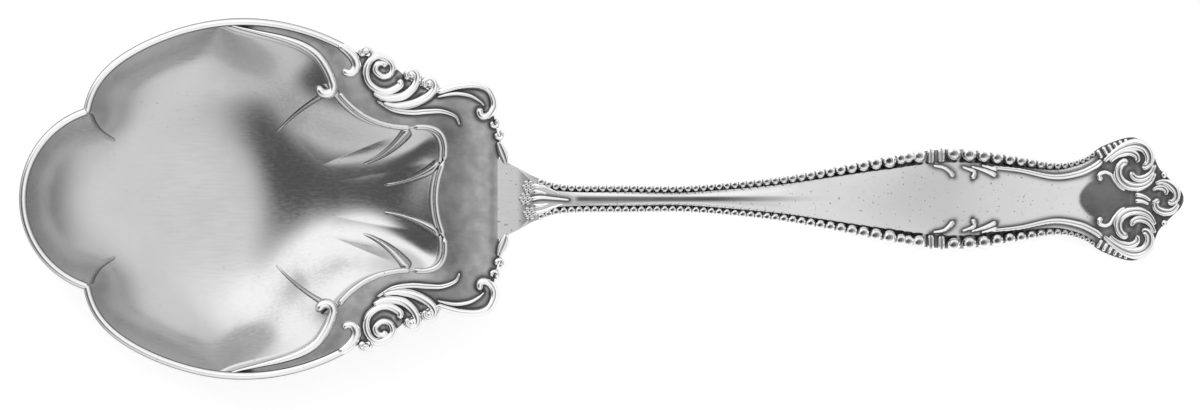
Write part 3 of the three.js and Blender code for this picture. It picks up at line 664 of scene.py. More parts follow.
@dataclass(frozen=True)
class Silver:
    """A finish of silver: bright metal with fine wear, and a darkening from its mesh: tarnish in its
    recesses, and painted shade and reflections.
    """

    name: str
    colour: float
    # Colour that the mesh's darkening blends towards: tarnish, and also painted shade and painted
    # reflections.
    tarnish_and_shade_colour: float = 0.05
    shine: Pair = (0.16, 0.26)
    tarnish_rough: float = 0.3
    cloud_scale: float = 90.0
    cloud_detail: float = 4.0
    scratch_scale: tuple[float, float, float] = (260.0, 2600.0, 2600.0)
    scratch_detail: float = 3.0
    pit_scale: float = 1500.0
    pit_detail: float = 2.0
    patch_range: Pair = (0.3, 0.7)
    patch_shares: Pair = (0.8, 1.0)
    wear_range: Pair = (0.3, 0.7)
    mottle: float = 0.93
    mottle_range: Pair = (0.25, 0.75)
    speck: float = 0.72
    speck_range: Pair = (0.7, 0.78)
    bump: float = 0.06
    bump_depth: float = 0.05

    def material(self) -> Material:
        """Makes the finish's material.

        Returns:
            A metal whose colour, roughness and bump come from its nodes.
        """
        made = bpy.data.materials.new(self.name)
        made.use_nodes = True
        graph = Graph(made.node_tree)
        place = graph.node("ShaderNodeTexCoord").outputs["Object"]
        along = graph.node("ShaderNodeMapping", {"Vector": place, "Scale": self.scratch_scale}).outputs[0]
        cloud = graph.noise(place, self.cloud_scale, self.cloud_detail)
        scratch = graph.noise(along, 1.0, self.scratch_detail)
        pits = graph.noise(place, self.pit_scale, self.pit_detail)
        # The mesh's attribute holds tarnish in hollows and painted shade and reflections; all of it darkens
        # the metal.
        darkening = graph.node("ShaderNodeAttribute", attribute_name=TARNISH_AND_SHADE).outputs["Fac"]
        patchy = graph.ramp(cloud, *self.patch_range, *self.patch_shares)
        stain = graph.math("MULTIPLY", darkening, patchy)
        bloom = graph.ramp(cloud, *self.mottle_range, self.colour * self.mottle, self.colour)
        speck = graph.ramp(pits, *self.speck_range, 1.0, self.speck)
        metal = graph.math("MULTIPLY", bloom, speck)
        tint = graph.grey(graph.blend(stain, metal, self.tarnish_and_shade_colour))
        worn = graph.ramp(scratch, *self.wear_range, *self.shine)
        rough = graph.math("ADD", worn, graph.math("MULTIPLY", stain, self.tarnish_rough))
        height = graph.math("ADD", scratch, pits)
        bump = graph.node("ShaderNodeBump", {
            "Height": height, "Strength": self.bump, "Distance": self.bump_depth * MM})
        shader = graph.node("ShaderNodeBsdfPrincipled", {
            "Base Color": tint, "Metallic": 1.0, "Roughness": rough, "Normal": bump.outputs[0]})
        graph.node("ShaderNodeOutputMaterial", {"Surface": shader.outputs[0]})
        return made


SATIN = Silver("satin_silver", colour=0.62)
DULL = Silver("dull_silver", colour=0.43, cloud_scale=420.0, mottle=0.72)
POLISHED = Silver("polished_silver", colour=0.74, speck=0.45, speck_range=(0.67, 0.73))
BRIGHT = Silver("bright_silver", colour=0.95)
STRUCK = Silver("struck_silver", colour=0.95, shine=(0.07, 0.13))


# Studio

@dataclass
class Zone:
    """A soft patch of the studio's dome, placed by the slope of a surface that mirrors it upwards."""

    slope: Pair
    size: Pair
    level: float
    edge: Pair
    turn: float = 0.0


@dataclass
class Studio:
    """Floor, dome of light and camera, which looks straight down as the photograph does."""

    view_width: float = 237.1
    view_centre: Pair = (71.1, -1.2)
    camera_height: float = 500.0
    floor_radius: float = 4000.0
    floor_drop: float = 0.2
    floor_sides: int = 96
    floor_colour: float = 0.6
    floor_glow: float = 0.62
    dome: float = 0.98
    horizon: float = 0.68
    horizon_slopes: Pair = (0.7, 1.25)
    zones: tuple[Zone, ...] = (
        Zone((-0.5, -0.75), (0.4, 0.4), 0.85, (0.2, 1.5)),
        Zone((1.35, 0.0), (0.95, 1.5), 0.28, (0.1, 1.4)),
        Zone((-0.56, 0.58), (0.72, 0.34), 1.5, (0.2, 1.5), turn=135),
        Zone((-0.5, -0.12), (0.42, 0.36), 0.12, (0.2, 1.6)),
    )

    def build(self) -> None:
        """Makes the studio and sets the scene's camera."""
        bpy.context.scene.view_settings.view_transform = "Standard"
        self.make_camera()
        self.make_dome()
        self.make_floor()

    def make_camera(self) -> None:
        """Makes the camera above the spoon."""
        lens = bpy.data.cameras.new("camera")
        lens.type = "ORTHO"
        lens.ortho_scale = self.view_width * MM
        lens.clip_start = MM
        camera = placed("camera", lens)
        x, y = self.view_centre
        camera.location = (x * MM, y * MM, self.camera_height * MM)
        bpy.context.scene.camera = camera

    def make_dome(self) -> None:
        """Makes the world: a pale dome with a dim horizon and soft patches of light and shade."""
        world = bpy.data.worlds.new("studio")
        world.use_nodes = True
        bpy.context.scene.world = world
        graph = Graph(world.node_tree)
        way = graph.node("ShaderNodeTexCoord").outputs["Generated"]
        axis = graph.node("ShaderNodeSeparateXYZ", {0: way}).outputs
        lift = graph.math("ADD", axis["Z"], 1.0)
        u = graph.math("DIVIDE", axis["X"], lift)
        v = graph.math("DIVIDE", axis["Y"], lift)
        steep = graph.math("SQRT", graph.weighed(u, u, v, v))
        level = graph.ramp(steep, *self.horizon_slopes, self.dome, self.horizon)
        for zone in self.zones:
            across = graph.math("SUBTRACT", u, zone.slope[0])
            along = graph.math("SUBTRACT", v, zone.slope[1])
            cosine, sine = math.cos(math.radians(zone.turn)), math.sin(math.radians(zone.turn))
            width, height = zone.size
            a = graph.weighed(across, cosine / width, along, sine / width)
            b = graph.weighed(along, cosine / height, across, -sine / height)
            spread = graph.weighed(a, a, b, b)
            level = graph.blend(graph.ramp(spread, *zone.edge, 1.0, 0.0), level, zone.level)
        seen = graph.node("ShaderNodeLightPath").outputs["Is Camera Ray"]
        light = graph.node("ShaderNodeBackground", {"Color": graph.grey(graph.blend(seen, level, 1.0))})
        graph.node("ShaderNodeOutputWorld", {"Surface": light.outputs[0]})

    def make_floor(self) -> None:
        """Makes the pale floor, which keeps the spoon's shadow."""
        shell = bmesh.new()
        bmesh.ops.create_circle(shell, cap_ends=True, segments=self.floor_sides,
                                radius=self.floor_radius * MM)
        bmesh.ops.translate(shell, verts=shell.verts, vec=(0, 0, -self.floor_drop * MM))
        mesh = bpy.data.meshes.new("floor")
        shell.to_mesh(mesh)
        shell.free()
        floor = placed("floor", mesh)
        made = bpy.data.materials.new("white_paper")
        made.use_nodes = True
        graph = Graph(made.node_tree)
        grey = (self.floor_colour,) * 3 + (1.0,)
        paper = graph.node("ShaderNodeBsdfDiffuse", {"Color": grey})
        path = graph.node("ShaderNodeLightPath").outputs
        seen = graph.math("MAXIMUM", path["Is Camera Ray"], path["Is Glossy Ray"])
        seen = graph.math("MAXIMUM", seen, path["Is Transmission Ray"])
        glow = graph.node("ShaderNodeEmission", {"Strength": graph.math("MULTIPLY", seen, self.floor_glow)})
        both = graph.node("ShaderNodeAddShader", {0: paper.outputs[0], 1: glow.outputs[0]})
        graph.node("ShaderNodeOutputMaterial", {"Surface": both.outputs[0]})
        mesh.materials.append(made)


# Bowl

@dataclass
class BowlForm:
    """Shape of the bowl that its shell, its wires and the shoulder share."""

    radius: float = 35.7
    front_reach: float = 43.7
    front_radius: float = 18.9
    front_swell: float = 0.042
    front_swell_power: float = 2.5
    back_swell: float = 0.042
    swell_start: float = 95.0
    lobe_end: float = 53.0
    depth: float = 13.0
    sheet: float = 1.2
    tilt: float = 0.03
    lip: float = 1.3
    lip_edge: float = 1.0
    crescent_start: float = 97.0
    outer_corner: Pair = (18.4, 22.6)
    middle_corner: Pair = (34.0, 14.1)
    inner_corner: Pair = (40.3, 7.5)
    crescent_line: Points = (
        (17.4, 25.2), (15.4, 28.2), (12.4, 30.3), (8.3, 31.8), (3.0, 33.1), (-1.0, 34.1),
    )
    side_flute_bow: float = 2.5
    small_flute_bow: float = -3.2
    centre_flute_bow: float = 1.6
    flute_steps: int = 40
    crescent_steps: int = 44
    lobe_steps: int = 56
    front_steps: int = 48
    shoulder_lift: float = 0.8
    shoulder_rise: Pair = (34.0, 48.0)
    shoulder_fall: Pair = (48.5, 51.2)

    def rim_height(self, points: Array) -> Array:
        """Height of the lip at plan points."""
        return self.sheet + self.depth + self.tilt * points[..., 0]

    def shoulder_height(self, points: Array) -> Array:
        """Height of the shoulder, which rises a little towards the handle.

        Args:
            points: Plan points.

        Returns:
            Heights.
        """
        x = points[..., 0]
        lift = smoothstep(x, *self.shoulder_rise) * (1 - smoothstep(x, *self.shoulder_fall))
        return self.rim_height(points) + self.shoulder_lift * lift

    @property
    def front_centre(self) -> Array:
        """Middle of the front lobe."""
        return plan(self.front_radius - self.front_reach, 0.0)

    def notch_angles(self, side_radius: float, front_radius: float) -> Pair:
        """Angles of the notch between the side and front lobes, about each lobe's centre.

        Args:
            side_radius: Radius of the side lobe's line.
            front_radius: Radius of the front lobe's line.

        Returns:
            The side lobe's angle and the front lobe's angle, in degrees.
        """
        spacing = self.front_reach - self.front_radius
        reach = (side_radius ** 2 - front_radius ** 2 + spacing ** 2) / (2 * spacing)
        height = math.sqrt(side_radius ** 2 - reach ** 2)
        return math.degrees(math.atan2(height, -reach)), math.degrees(math.atan2(height, spacing - reach))

    def lobe_radius(self, degrees: Array) -> Array:
        """Radius of a side lobe, which swells past a circle towards the notch and the shoulder.

        Args:
            degrees: Angles about the middle of the bowl.

        Returns:
            Radii.
        """
        notch = self.notch_angles(self.radius, self.front_radius)[0]
        ahead = np.clip((degrees - self.swell_start) / (notch - self.swell_start), 0, 1)
        behind = np.clip((self.swell_start - degrees) / (self.swell_start - self.lobe_end), 0, None)
        front = self.front_swell * np.sin(np.pi * ahead ** self.front_swell_power)
        return self.radius * (1 + front + self.back_swell * behind ** 2)

    def lobe_line(self, inset: float, start: float, stop: float, count: int) -> Array:
        """The right side lobe's outline, moved in by an inset.

        Args:
            inset: How far it is moved in.
            start: First angle in degrees.
            stop: Last angle in degrees.
            count: Number of steps.

        Returns:
            The points, one row each.
        """
        degrees = np.linspace(start, stop, count + 1)
        return around(ORIGIN, self.lobe_radius(degrees) - inset, degrees)

    def back_edge(self) -> Array:
        """The scalloped edge from the middle of the centre flute to the outer corner.

        Returns:
            The points, one row each.
        """
        inner, middle, outer = map(np.array, (self.inner_corner, self.middle_corner, self.outer_corner))
        steps = self.flute_steps
        centre = bowed(mirrored(inner), inner, self.centre_flute_bow, steps)[steps // 2:]
        return joined(centre, bowed(inner, middle, self.small_flute_bow, steps),
                      bowed(middle, outer, self.side_flute_bow, steps))

    def crescent(self, count: int) -> Array:
        """The edge beside a crescent, from the outer corner to the crescent's tip."""
        tip = around(ORIGIN, np.array([self.radius]), np.array([self.crescent_start]))
        return spline(np.vstack([self.outer_corner, self.crescent_line, tip]), count)

    def edge(self) -> Array:
        """The whole edge of the bowl, once round from the middle of its back.

        Returns:
            The points, without a second copy of the first.
        """
        side, front = self.notch_angles(self.radius, self.front_radius)
        half = joined(
            self.back_edge(),
            self.crescent(self.crescent_steps),
            self.lobe_line(0, self.crescent_start, side, self.lobe_steps),
            arc(self.front_centre, self.front_radius, front, 180, self.front_steps),
        )
        return np.vstack([half, mirrored(half[1:-1])[::-1]])


@dataclass(frozen=True)
class Ridge:
    """A raised line inside the bowl: its root, its tip, its bow, its half widths and its rise."""

    root: Pair
    tip: Pair
    bow: float
    half: Pair
    rise: float
    steps: int = 40

    def stroke(self) -> Stroke:
        """The ridge as a stroke of relief that fades towards its tip."""
        path = bowed(np.array(self.root), np.array(self.tip), self.bow, self.steps)
        return Stroke(path, tapered(*self.half), fading(self.rise), Profile.SOFT)


@dataclass
class Bowl:
    """The bowl: a lobed hollow with flutes and ridges at its back."""

    form: BowlForm
    finish: Material
    rows: int = 120
    row_power: float = 0.75
    outside_rows: int = 30
    floor_blend: float = 0.01
    # How the wall curves up at the front and at the back, and between which places that changes.
    powers: Pair = (2.6, 1.2)
    power_places: Pair = (-16.0, 14.0)
    # The back wall climbs early and eases towards the lip.
    roll_over: float = 0.5
    # Towards the handle the floor widens into a trough.
    trough: float = 0.24
    trough_shares: Pair = (0.1, 1.0)
    trough_places: Pair = (-8.0, 14.0)
    closest: float = 1e-6
    flute_depth: float = 0.35
    flute_start: float = 0.35
    ridges: tuple[Ridge, ...] = (
        Ridge((16.6, 20.6), (7.2, 13.2), -0.5, (0.6, 0.2), 0.45),
        Ridge((33.4, 13.8), (24.4, 6.9), 0.9, (1.3, 0.25), 0.9),
        Ridge((39.6, 7.3), (28.4, 2.7), 0.9, (1.2, 0.25), 0.9),
    )
    crease: Curve = Curve(((-30.1, 16.9), (-29.6, 15.3), (-27.8, 13.2), (-24.7, 11.5)), 40)
    crease_half: Pair = (1.3, 0.3)
    crease_rise: float = 0.6

    def __post_init__(self) -> None:
        """Works out the lip's inner line, the angles of its right half and the clearance of the middle."""
        edge = self.form.edge()
        self.lip_line = edge * (1 - self.form.lip / np.hypot(*edge.T))[:, None]
        half = edge[:len(edge) // 2 + 1]
        self.lip_angles = np.degrees(np.arctan2(half[:, 1], half[:, 0]))
        self.widest = self.clearance(np.zeros((1, 2)))[0]

    def clearance(self, points: Array) -> Array:
        """Smooth distance of plan points from the lip, whose pull falls with the cube of the distance.

        Args:
            points: Plan points, one row each.

        Returns:
            Distances: true ones near the lip, softened ones far from it.
        """
        pull = np.zeros(len(points))
        for a, b in zip(self.lip_line, np.roll(self.lip_line, -1, axis=0)):
            length = np.hypot(*(b - a))
            unit = (b - a) / length
            along = (points - a) @ unit
            beside = ((points - a) @ np.array([-unit[1], unit[0]])) ** 2 + self.closest
            left = length - along
            pull += (left / np.sqrt(beside + left ** 2) + along / np.sqrt(beside + along ** 2)) / beside
        return np.sqrt(2 / pull)

    def height(self, points: Array) -> Array:
        """Height of the inside at plan points.

        Args:
            points: Plan points, one row each.

        Returns:
            Heights.
        """
        form = self.form
        x = points[:, 0]
        near_lip = smoothstep(1 - self.clearance(points) / self.widest, *self.trough_shares)
        trough = self.trough * (1 - near_lip) * smoothstep(x, *self.trough_places)
        share = 1 - self.clearance(points * np.column_stack([np.ones_like(x), 1 - trough])) / self.widest
        climb = (share + np.sqrt(share ** 2 + self.floor_blend)) / (1 + math.sqrt(1 + self.floor_blend))
        front, back = self.powers
        behind = smoothstep(x, *self.power_places)
        power = mixed(front, back, behind)
        rolled = 1 + self.roll_over * behind * (1 - climb)
        depth = form.depth + form.tilt * x * climb
        return form.sheet + depth * climb ** power * rolled - self.scoops(points, share)

    def scoops(self, points: Array, share: Array) -> Array:
        """Depth of the flutes at the back of the bowl.

        Args:
            points: Plan points, one row each.
            share: Shares of the way up the wall.

        Returns:
            Depths.
        """
        angle = np.degrees(np.arctan2(np.abs(points[:, 1]), points[:, 0]))
        place = np.interp(angle, self.lip_angles, np.arange(len(self.lip_angles)))
        turn = (place / self.form.flute_steps + 0.5) % 1
        fluted = place < len(self.form.back_edge()) - 1
        fade = np.sin(np.pi * np.clip((share - self.flute_start) / (1 - self.flute_start), 0, 1))
        return np.where(fluted, self.flute_depth * fade * np.sin(np.pi * turn), 0)

    def build(self) -> Piece:
        """Makes the bowl's shell.

        Returns:
            The bowl.
        """
        form, edge = self.form, self.form.edge()
        rim = form.rim_height(edge)
        inside, outside = self.rings(self.rows), self.rings(self.outside_rows)
        inside[-1, :, 2] = rim
        run = np.gradient(np.hypot(outside[..., 0], outside[..., 1]), axis=0)
        slope = np.gradient(outside[..., 2], axis=0) / np.maximum(run, self.closest)
        outside[..., 2] -= form.sheet * np.hypot(1, np.clip(slope, 0, 1))
        lip = [np.column_stack([edge, rim]), np.column_stack([edge, rim - form.lip_edge])]
        whole = np.concatenate([inside, np.stack(lip), outside[::-1]])
        skin = Skin()
        skin.add_tube(whole, np.zeros(whole.shape[:2]))
        half, rise = tapered(*self.crease_half), fading(self.crease_rise)
        crease = Stroke(self.crease.path(), half, rise, Profile.WEDGE)
        raised = relief([*[ridge.stroke() for ridge in self.ridges], crease], self.height)
        skin.add(raised)
        skin.add(raised.mirrored())
        return install(skin.build("silver_bowl", self.finish), Slot.POLISHED, "bowl")

    def rings(self, count: int) -> Array:
        """Rings of the inside, from the middle to the lip.

        Args:
            count: Number of rings.

        Returns:
            Places, an array of rings, points and coordinates.
        """
        shares = np.linspace(0, 1, count + 1)[1:] ** self.row_power
        points = shares[:, None, None] * self.lip_line
        height = self.height(points.reshape(-1, 2)).reshape(points.shape[:2])
        return np.dstack([points, height])


@dataclass
class LipWires:
    """Round wires sunk in the lip, the ribs of the side lobes and the moulding at the back."""

    form: BowlForm
    finish: Material
    moulding_finish: Material
    rim_half: float = 0.75
    rim_sides: int = 20
    rim_steps: int = 120
    rim_stop: float = 56.0
    wire_step: float = 0.3
    club: Curve = Curve((
        (19.4, 30.4), (21.2, 29.2), (22.6, 27.7), (23.0, 26.2), (22.2, 25.0), (21.0, 25.0), (20.5, 25.9),
    ), 60)
    club_half: Pair = (0.75, 1.1)
    club_rise: float = 1.2
    hook_turns: float = 0.62
    hook_close: float = 0.55
    hook_steps: int = 24
    rib_half: float = 1.0
    rib_rise: float = 1.3
    rib_start: float = 0.17
    rib_full_at: float = 0.7
    rib_hook_radius: float = 1.7
    rib_steps: int = 80
    moulding_half: float = 0.6
    moulding_rise: float = 0.6
    moulding_waist: float = 0.35
    waist_reach: Pair = (0.1, 1.0)
    moulding_clear: float = 1.9

    def build(self) -> list[Piece]:
        """Makes the wires.

        Returns:
            The pieces.
        """
        form = self.form
        front_radius = form.front_radius - self.rim_half
        side, front = form.notch_angles(form.radius - self.rim_half, front_radius)
        side_path = form.lobe_line(self.rim_half, side, self.rim_stop, self.rim_steps)
        front_path = arc(form.front_centre, front_radius, front, 360 - front, self.rim_steps)
        wires = (("front_rim", front_path), ("right_rim", side_path), ("left_rim", mirrored(side_path)))
        pieces = []
        for node, path in wires:
            piece = self.wire(f"silver_{node}", path)
            if node != "front_rim":
                piece = merged(piece, self.clubbed_end(node == "left_rim"))
            pieces.append(install(piece, Slot.POLISHED, node))
        strokes = (
            ("right_rib", self.rib(), self.finish),
            ("left_rib", self.rib().mirrored(), self.finish),
            ("heel_moulding", self.moulding(), self.moulding_finish),
        )
        for node, stroke, finish in strokes:
            piece = relief([stroke], form.shoulder_height).build(f"silver_{node}", finish)
            pieces.append(install(piece, Slot.POLISHED, node))
        return pieces

    def clubbed_end(self, left: bool) -> Piece:
        """The thick end of a side rim, which turns back on itself.

        Args:
            left: Whether it is the left rim's.

        Returns:
            The end.
        """
        stroke = Stroke(self.club.path(), swelling(*self.club_half), constant(self.club_rise))
        shown = stroke.mirrored() if left else stroke
        return relief([shown], self.form.rim_height).build("club", self.finish)

    def wire(self, name: str, path: Array) -> Piece:
        """Sweeps a round wire along a path on the lip.

        Args:
            name: The piece's name.
            path: Plan path of its middle.

        Returns:
            The wire.
        """
        path = even(path, self.wire_step)
        places = np.column_stack([path, self.form.rim_height(path)]) * MM
        sizes = {"Radius": self.rim_half * MM, "Sides": self.rim_sides}
        return grown(name, places, swept_wire(), sizes, self.finish, line=True)

    def rib(self) -> Stroke:
        """The rib that tapers along a crescent's inner side and ends in a hook.

        Returns:
            The right rib.
        """
        seam = self.form.crescent(self.rib_steps)
        inward = left_of(seam)[0] * self.rib_hook_radius
        start = math.degrees(math.atan2(-inward[1], -inward[0]))
        hook = spiral(seam[0] + inward, self.rib_hook_radius, self.rib_hook_radius * self.hook_close, start,
                      self.hook_turns, self.hook_steps)

        def growing(full: float) -> Shares:
            """A size that grows along the rib."""
            return lambda share: full * mixed(self.rib_start, 1, smoothstep(share, 0, self.rib_full_at))

        return Stroke(joined(seam[::-1], hook), growing(self.rib_half), growing(self.rib_rise))

    def moulding(self) -> Stroke:
        """The round line along the scalloped back edge, waisted at each corner.

        Returns:
            The moulding.
        """
        edge = self.form.back_edge()
        right = edge[lengths(edge) < lengths(edge)[-1] - self.moulding_clear]
        path = np.vstack([right[::-1], mirrored(right[1:])])
        corners = [np.array(corner) for corner in (self.form.middle_corner, self.form.inner_corner)]
        corners += [mirrored(corner) for corner in corners]
        places = even(path, Stroke.step)
        gap = np.min([np.hypot(*(places - corner).T) for corner in corners], axis=0)
        waist = mixed(self.moulding_waist, 1, smoothstep(gap, *self.waist_reach))

        def waisted(full: float) -> Shares:
            """A size at the stroke's own even points."""
            return lambda share: full * waist

        return Stroke(path, waisted(self.moulding_half), waisted(self.moulding_rise))


# Shoulder

@dataclass
class Shoulder:
    """The plate behind the bowl with its volutes, leaves and corner scrolls, given for the right side."""

    form: BowlForm
    plate_finish: Material
    scroll_finish: Material
    length: float = 10.8
    neck_half: float = 7.9
    rows: int = 30
    crown: float = 0.25
    channel: float = 0.35
    edge_inset: float = 0.4
    lobe_steps: int = 120
    outer_steps: int = 220
    crescent_steps: int = 160
    lobe_columns: int = 130
    outer_columns: int = 240
    crescent_tarnish: float = 0.2
    crescent_columns: tuple[int, int] = (80, 160)
    edge_tarnish: float = 0.6
    tarnish_reach: float = 0.5
    volute: Curve = Curve((
        (31.2, 23.7), (31.6, 22.5), (29.4, 21.3), (27.3, 21.5), (25.5, 22.9), (24.9, 24.9), (25.5, 27.1),
        (27.1, 28.2), (29.2, 27.5), (30.2, 26.1), (29.6, 24.6), (28.1, 24.2), (26.8, 25.3), (27.1, 26.6),
        (28.3, 26.8), (28.9, 25.9),
    ), 140)
    brow: Curve = Curve((
        (26.2, 28.0), (25.9, 29.3), (24.8, 30.0), (23.8, 29.4), (24.0, 28.5), (24.8, 28.7),
    ), 40)
    leaf: Curve = Curve((
        (26.2, 20.9), (28.5, 19.9), (31.8, 20.2), (33.7, 21.4), (34.9, 23.2), (34.9, 24.8), (33.9, 25.5),
        (32.9, 24.9), (32.9, 24.0), (33.5, 23.6),
    ), 80)
    small_leaf: Curve = Curve((
        (28.2, 18.9), (30.8, 18.4), (33.9, 18.8), (36.4, 19.9), (38.1, 21.3), (38.5, 22.7), (37.6, 23.7),
        (36.5, 23.4), (36.3, 22.5), (36.9, 22.0),
    ), 80)
    vein: Curve = Curve((
        (27.0, 19.4), (30.2, 17.6), (33.9, 17.1), (37.0, 17.3), (39.9, 17.3), (42.5, 16.3), (43.4, 14.6),
    ), 60)
    scroll: Curve = Curve((
        (38.8, 21.0), (41.0, 21.7), (43.6, 22.3), (46.9, 22.4), (49.0, 21.6), (50.0, 20.0), (50.2, 18.3),
        (49.3, 16.7), (47.9, 16.3), (47.3, 17.2), (48.0, 17.9),
    ), 90)
    scroll_line: Curve = Curve((
        (38.9, 20.1), (41.0, 20.6), (43.0, 20.8), (45.4, 20.4), (47.2, 19.4), (48.3, 18.4),
    ), 50)
    buds: Points = ((50.3, 14.9), (51.2, 12.6))
    bud_radius: float = 0.75
    bud_half: float = 0.5
    bud_rise: float = 1.0
    bud_turns: float = 0.9
    bud_close: float = 0.7
    bud_start: float = 90.0
    bud_steps: int = 30
    neck_leaf: Curve = Curve(((51.0, 11.4), (51.6, 9.9), (52.2, 8.4), (52.7, 6.8)))
    outer: Points = (
        (23.9, 28.6), (26.0, 28.0), (29.4, 26.8), (33.2, 23.8), (36.0, 22.2), (39.6, 20.8), (43.9, 22.1),
        (47.4, 22.2), (49.5, 20.4), (50.1, 18.0), (50.3, 15.4), (51.0, 12.4), (51.4, 9.6),
    )
    curl_beads: tuple[tuple[Pair, float], ...] = (
        ((24.85, 29.2), 0.8), ((33.9, 24.5), 1.0), ((37.4, 22.8), 1.0),
    )
    curl_rise: float = 1.9
    scroll_half: float = 0.9
    scroll_rise: float = 1.4
    scroll_taper: float = 0.7
    volute_taper: float = 0.8
    leaf_half: Pair = (0.45, 1.0)
    line_half: Pair = (0.25, 0.5)
    line_rise: float = 1.0
    vein_half: Pair = (0.25, 0.6)
    vein_rise: float = 0.5

    @property
    def neck_reach(self) -> float:
        """Where the plate meets the handle."""
        return self.form.inner_corner[0] + self.length

    def volute_strokes(self) -> list[Stroke]:
        """The big spiral, its brow, two leaves that wrap its foot, balls in the curls and the long vein.

        Returns:
            The right side's strokes.
        """
        half, rise = self.scroll_half, constant(self.scroll_rise)
        leaf = swelling(*self.leaf_half)
        return [
            Stroke(self.vein.path(), swelling(*self.vein_half), constant(self.vein_rise), Profile.BAND),
            Stroke(self.small_leaf.path(), leaf, rise),
            Stroke(self.leaf.path(), leaf, rise),
            Stroke(self.volute.path(), tapered(half, half * self.volute_taper), rise),
            Stroke(self.brow.path(), constant(self.line_half[1]), constant(self.line_rise)),
            *[dot(place, size, self.curl_rise) for place, size in self.curl_beads],
        ]

    def corner_strokes(self) -> list[Stroke]:
        """The C-scroll at the shoulder's corner, its buds and the leaf that runs on to the neck.

        Returns:
            The right side's strokes.
        """
        half, low = self.scroll_half, constant(self.line_rise)
        strokes = [
            Stroke(self.scroll.path(), tapered(half * self.scroll_taper, half), constant(self.scroll_rise)),
            Stroke(self.scroll_line.path(), swelling(*self.line_half), low),
            Stroke(self.neck_leaf.path(), swelling(*self.leaf_half), low, Profile.BAND),
        ]
        for centre in self.buds:
            ring = spiral(centre, self.bud_radius, self.bud_radius * self.bud_close, self.bud_start,
                          self.bud_turns, self.bud_steps)
            strokes.append(Stroke(ring, constant(self.bud_half), constant(self.bud_rise)))
        return strokes

    def outline(self) -> Array:
        """Outer edge of the plate's right half, from the crescent's tip to the middle of the neck.

        Returns:
            The points, one row each.
        """
        form = self.form
        lobe = form.lobe_line(self.edge_inset, form.crescent_start, form.lobe_end, self.lobe_steps)
        neck = plan((self.neck_reach, self.neck_half), (self.neck_reach, 0.0))
        outer = spline(np.vstack([lobe[-1], plan(*self.outer), neck]), self.outer_steps)
        return joined(lobe, outer)

    def build(self) -> list[Piece]:
        """Makes the plate and its ornament.

        Returns:
            The pieces.
        """
        pieces = [self.plate()]
        groups = {"volute_group": self.volute_strokes(), "corner_scroll": self.corner_strokes()}
        for node, strokes in groups.items():
            skin = relief(strokes, self.form.shoulder_height)
            for side, made in (("right", skin), ("left", skin.mirrored())):
                piece = made.build(f"silver_{side}_{node}", self.scroll_finish)
                pieces.append(install(piece, Slot.STRUCK, f"{side}_{node}"))
        return pieces

    def plate(self) -> Piece:
        """Makes the plate between the bowl's edge and its own outline.

        Returns:
            The plate.
        """
        form = self.form
        outer = self.outline()
        inner = joined(form.crescent(self.crescent_steps)[::-1], form.back_edge()[::-1])
        lobe, rest = self.lobe_columns, self.outer_columns
        outer_line, inner_line = (
            joined(resampled(line[:corner + 1], lobe), resampled(line[corner:], rest))
            for line, corner in ((outer, self.lobe_steps), (inner, self.crescent_steps)))
        share = np.linspace(0, 1, self.rows + 1)[:, None, None]
        half = inner_line + share * (outer_line - inner_line)
        whole = np.concatenate([half, mirrored(half[:, ::-1][:, 1:])], axis=1)
        flat = whole.reshape(-1, 2)
        strokes = on_both_sides([*self.volute_strokes(), *self.corner_strokes()])
        stain = near_strokes(flat, strokes, self.tarnish_reach).reshape(whole.shape[:2])
        column = np.arange(whole.shape[1])
        crescent_share = 1 - smoothstep(np.minimum(column, column[::-1]), *self.crescent_columns)
        bulge = self.crown - (self.crown + self.channel) * crescent_share
        z = form.shoulder_height(whole) + bulge * np.sin(np.pi * share[..., 0])
        top = np.dstack([whole, z])
        under = top[::-1] - np.array([0, 0, form.sheet])
        stain = np.maximum(stain, self.crescent_tarnish * crescent_share)
        beside_neck = np.abs(whole[-1, :, 1]) > self.neck_half
        stain[0] = np.maximum(stain[0], self.edge_tarnish)
        stain[-1] = np.maximum(stain[-1], self.edge_tarnish * beside_neck)
        rings = np.concatenate([top, under]).transpose(1, 0, 2)
        stains = np.concatenate([stain, np.zeros_like(stain)]).T
        skin = Skin()
        skin.add_tube(rings, stains)
        return install(skin.build("silver_shoulder", self.plate_finish), Slot.POLISHED, "shoulder")


# Handle

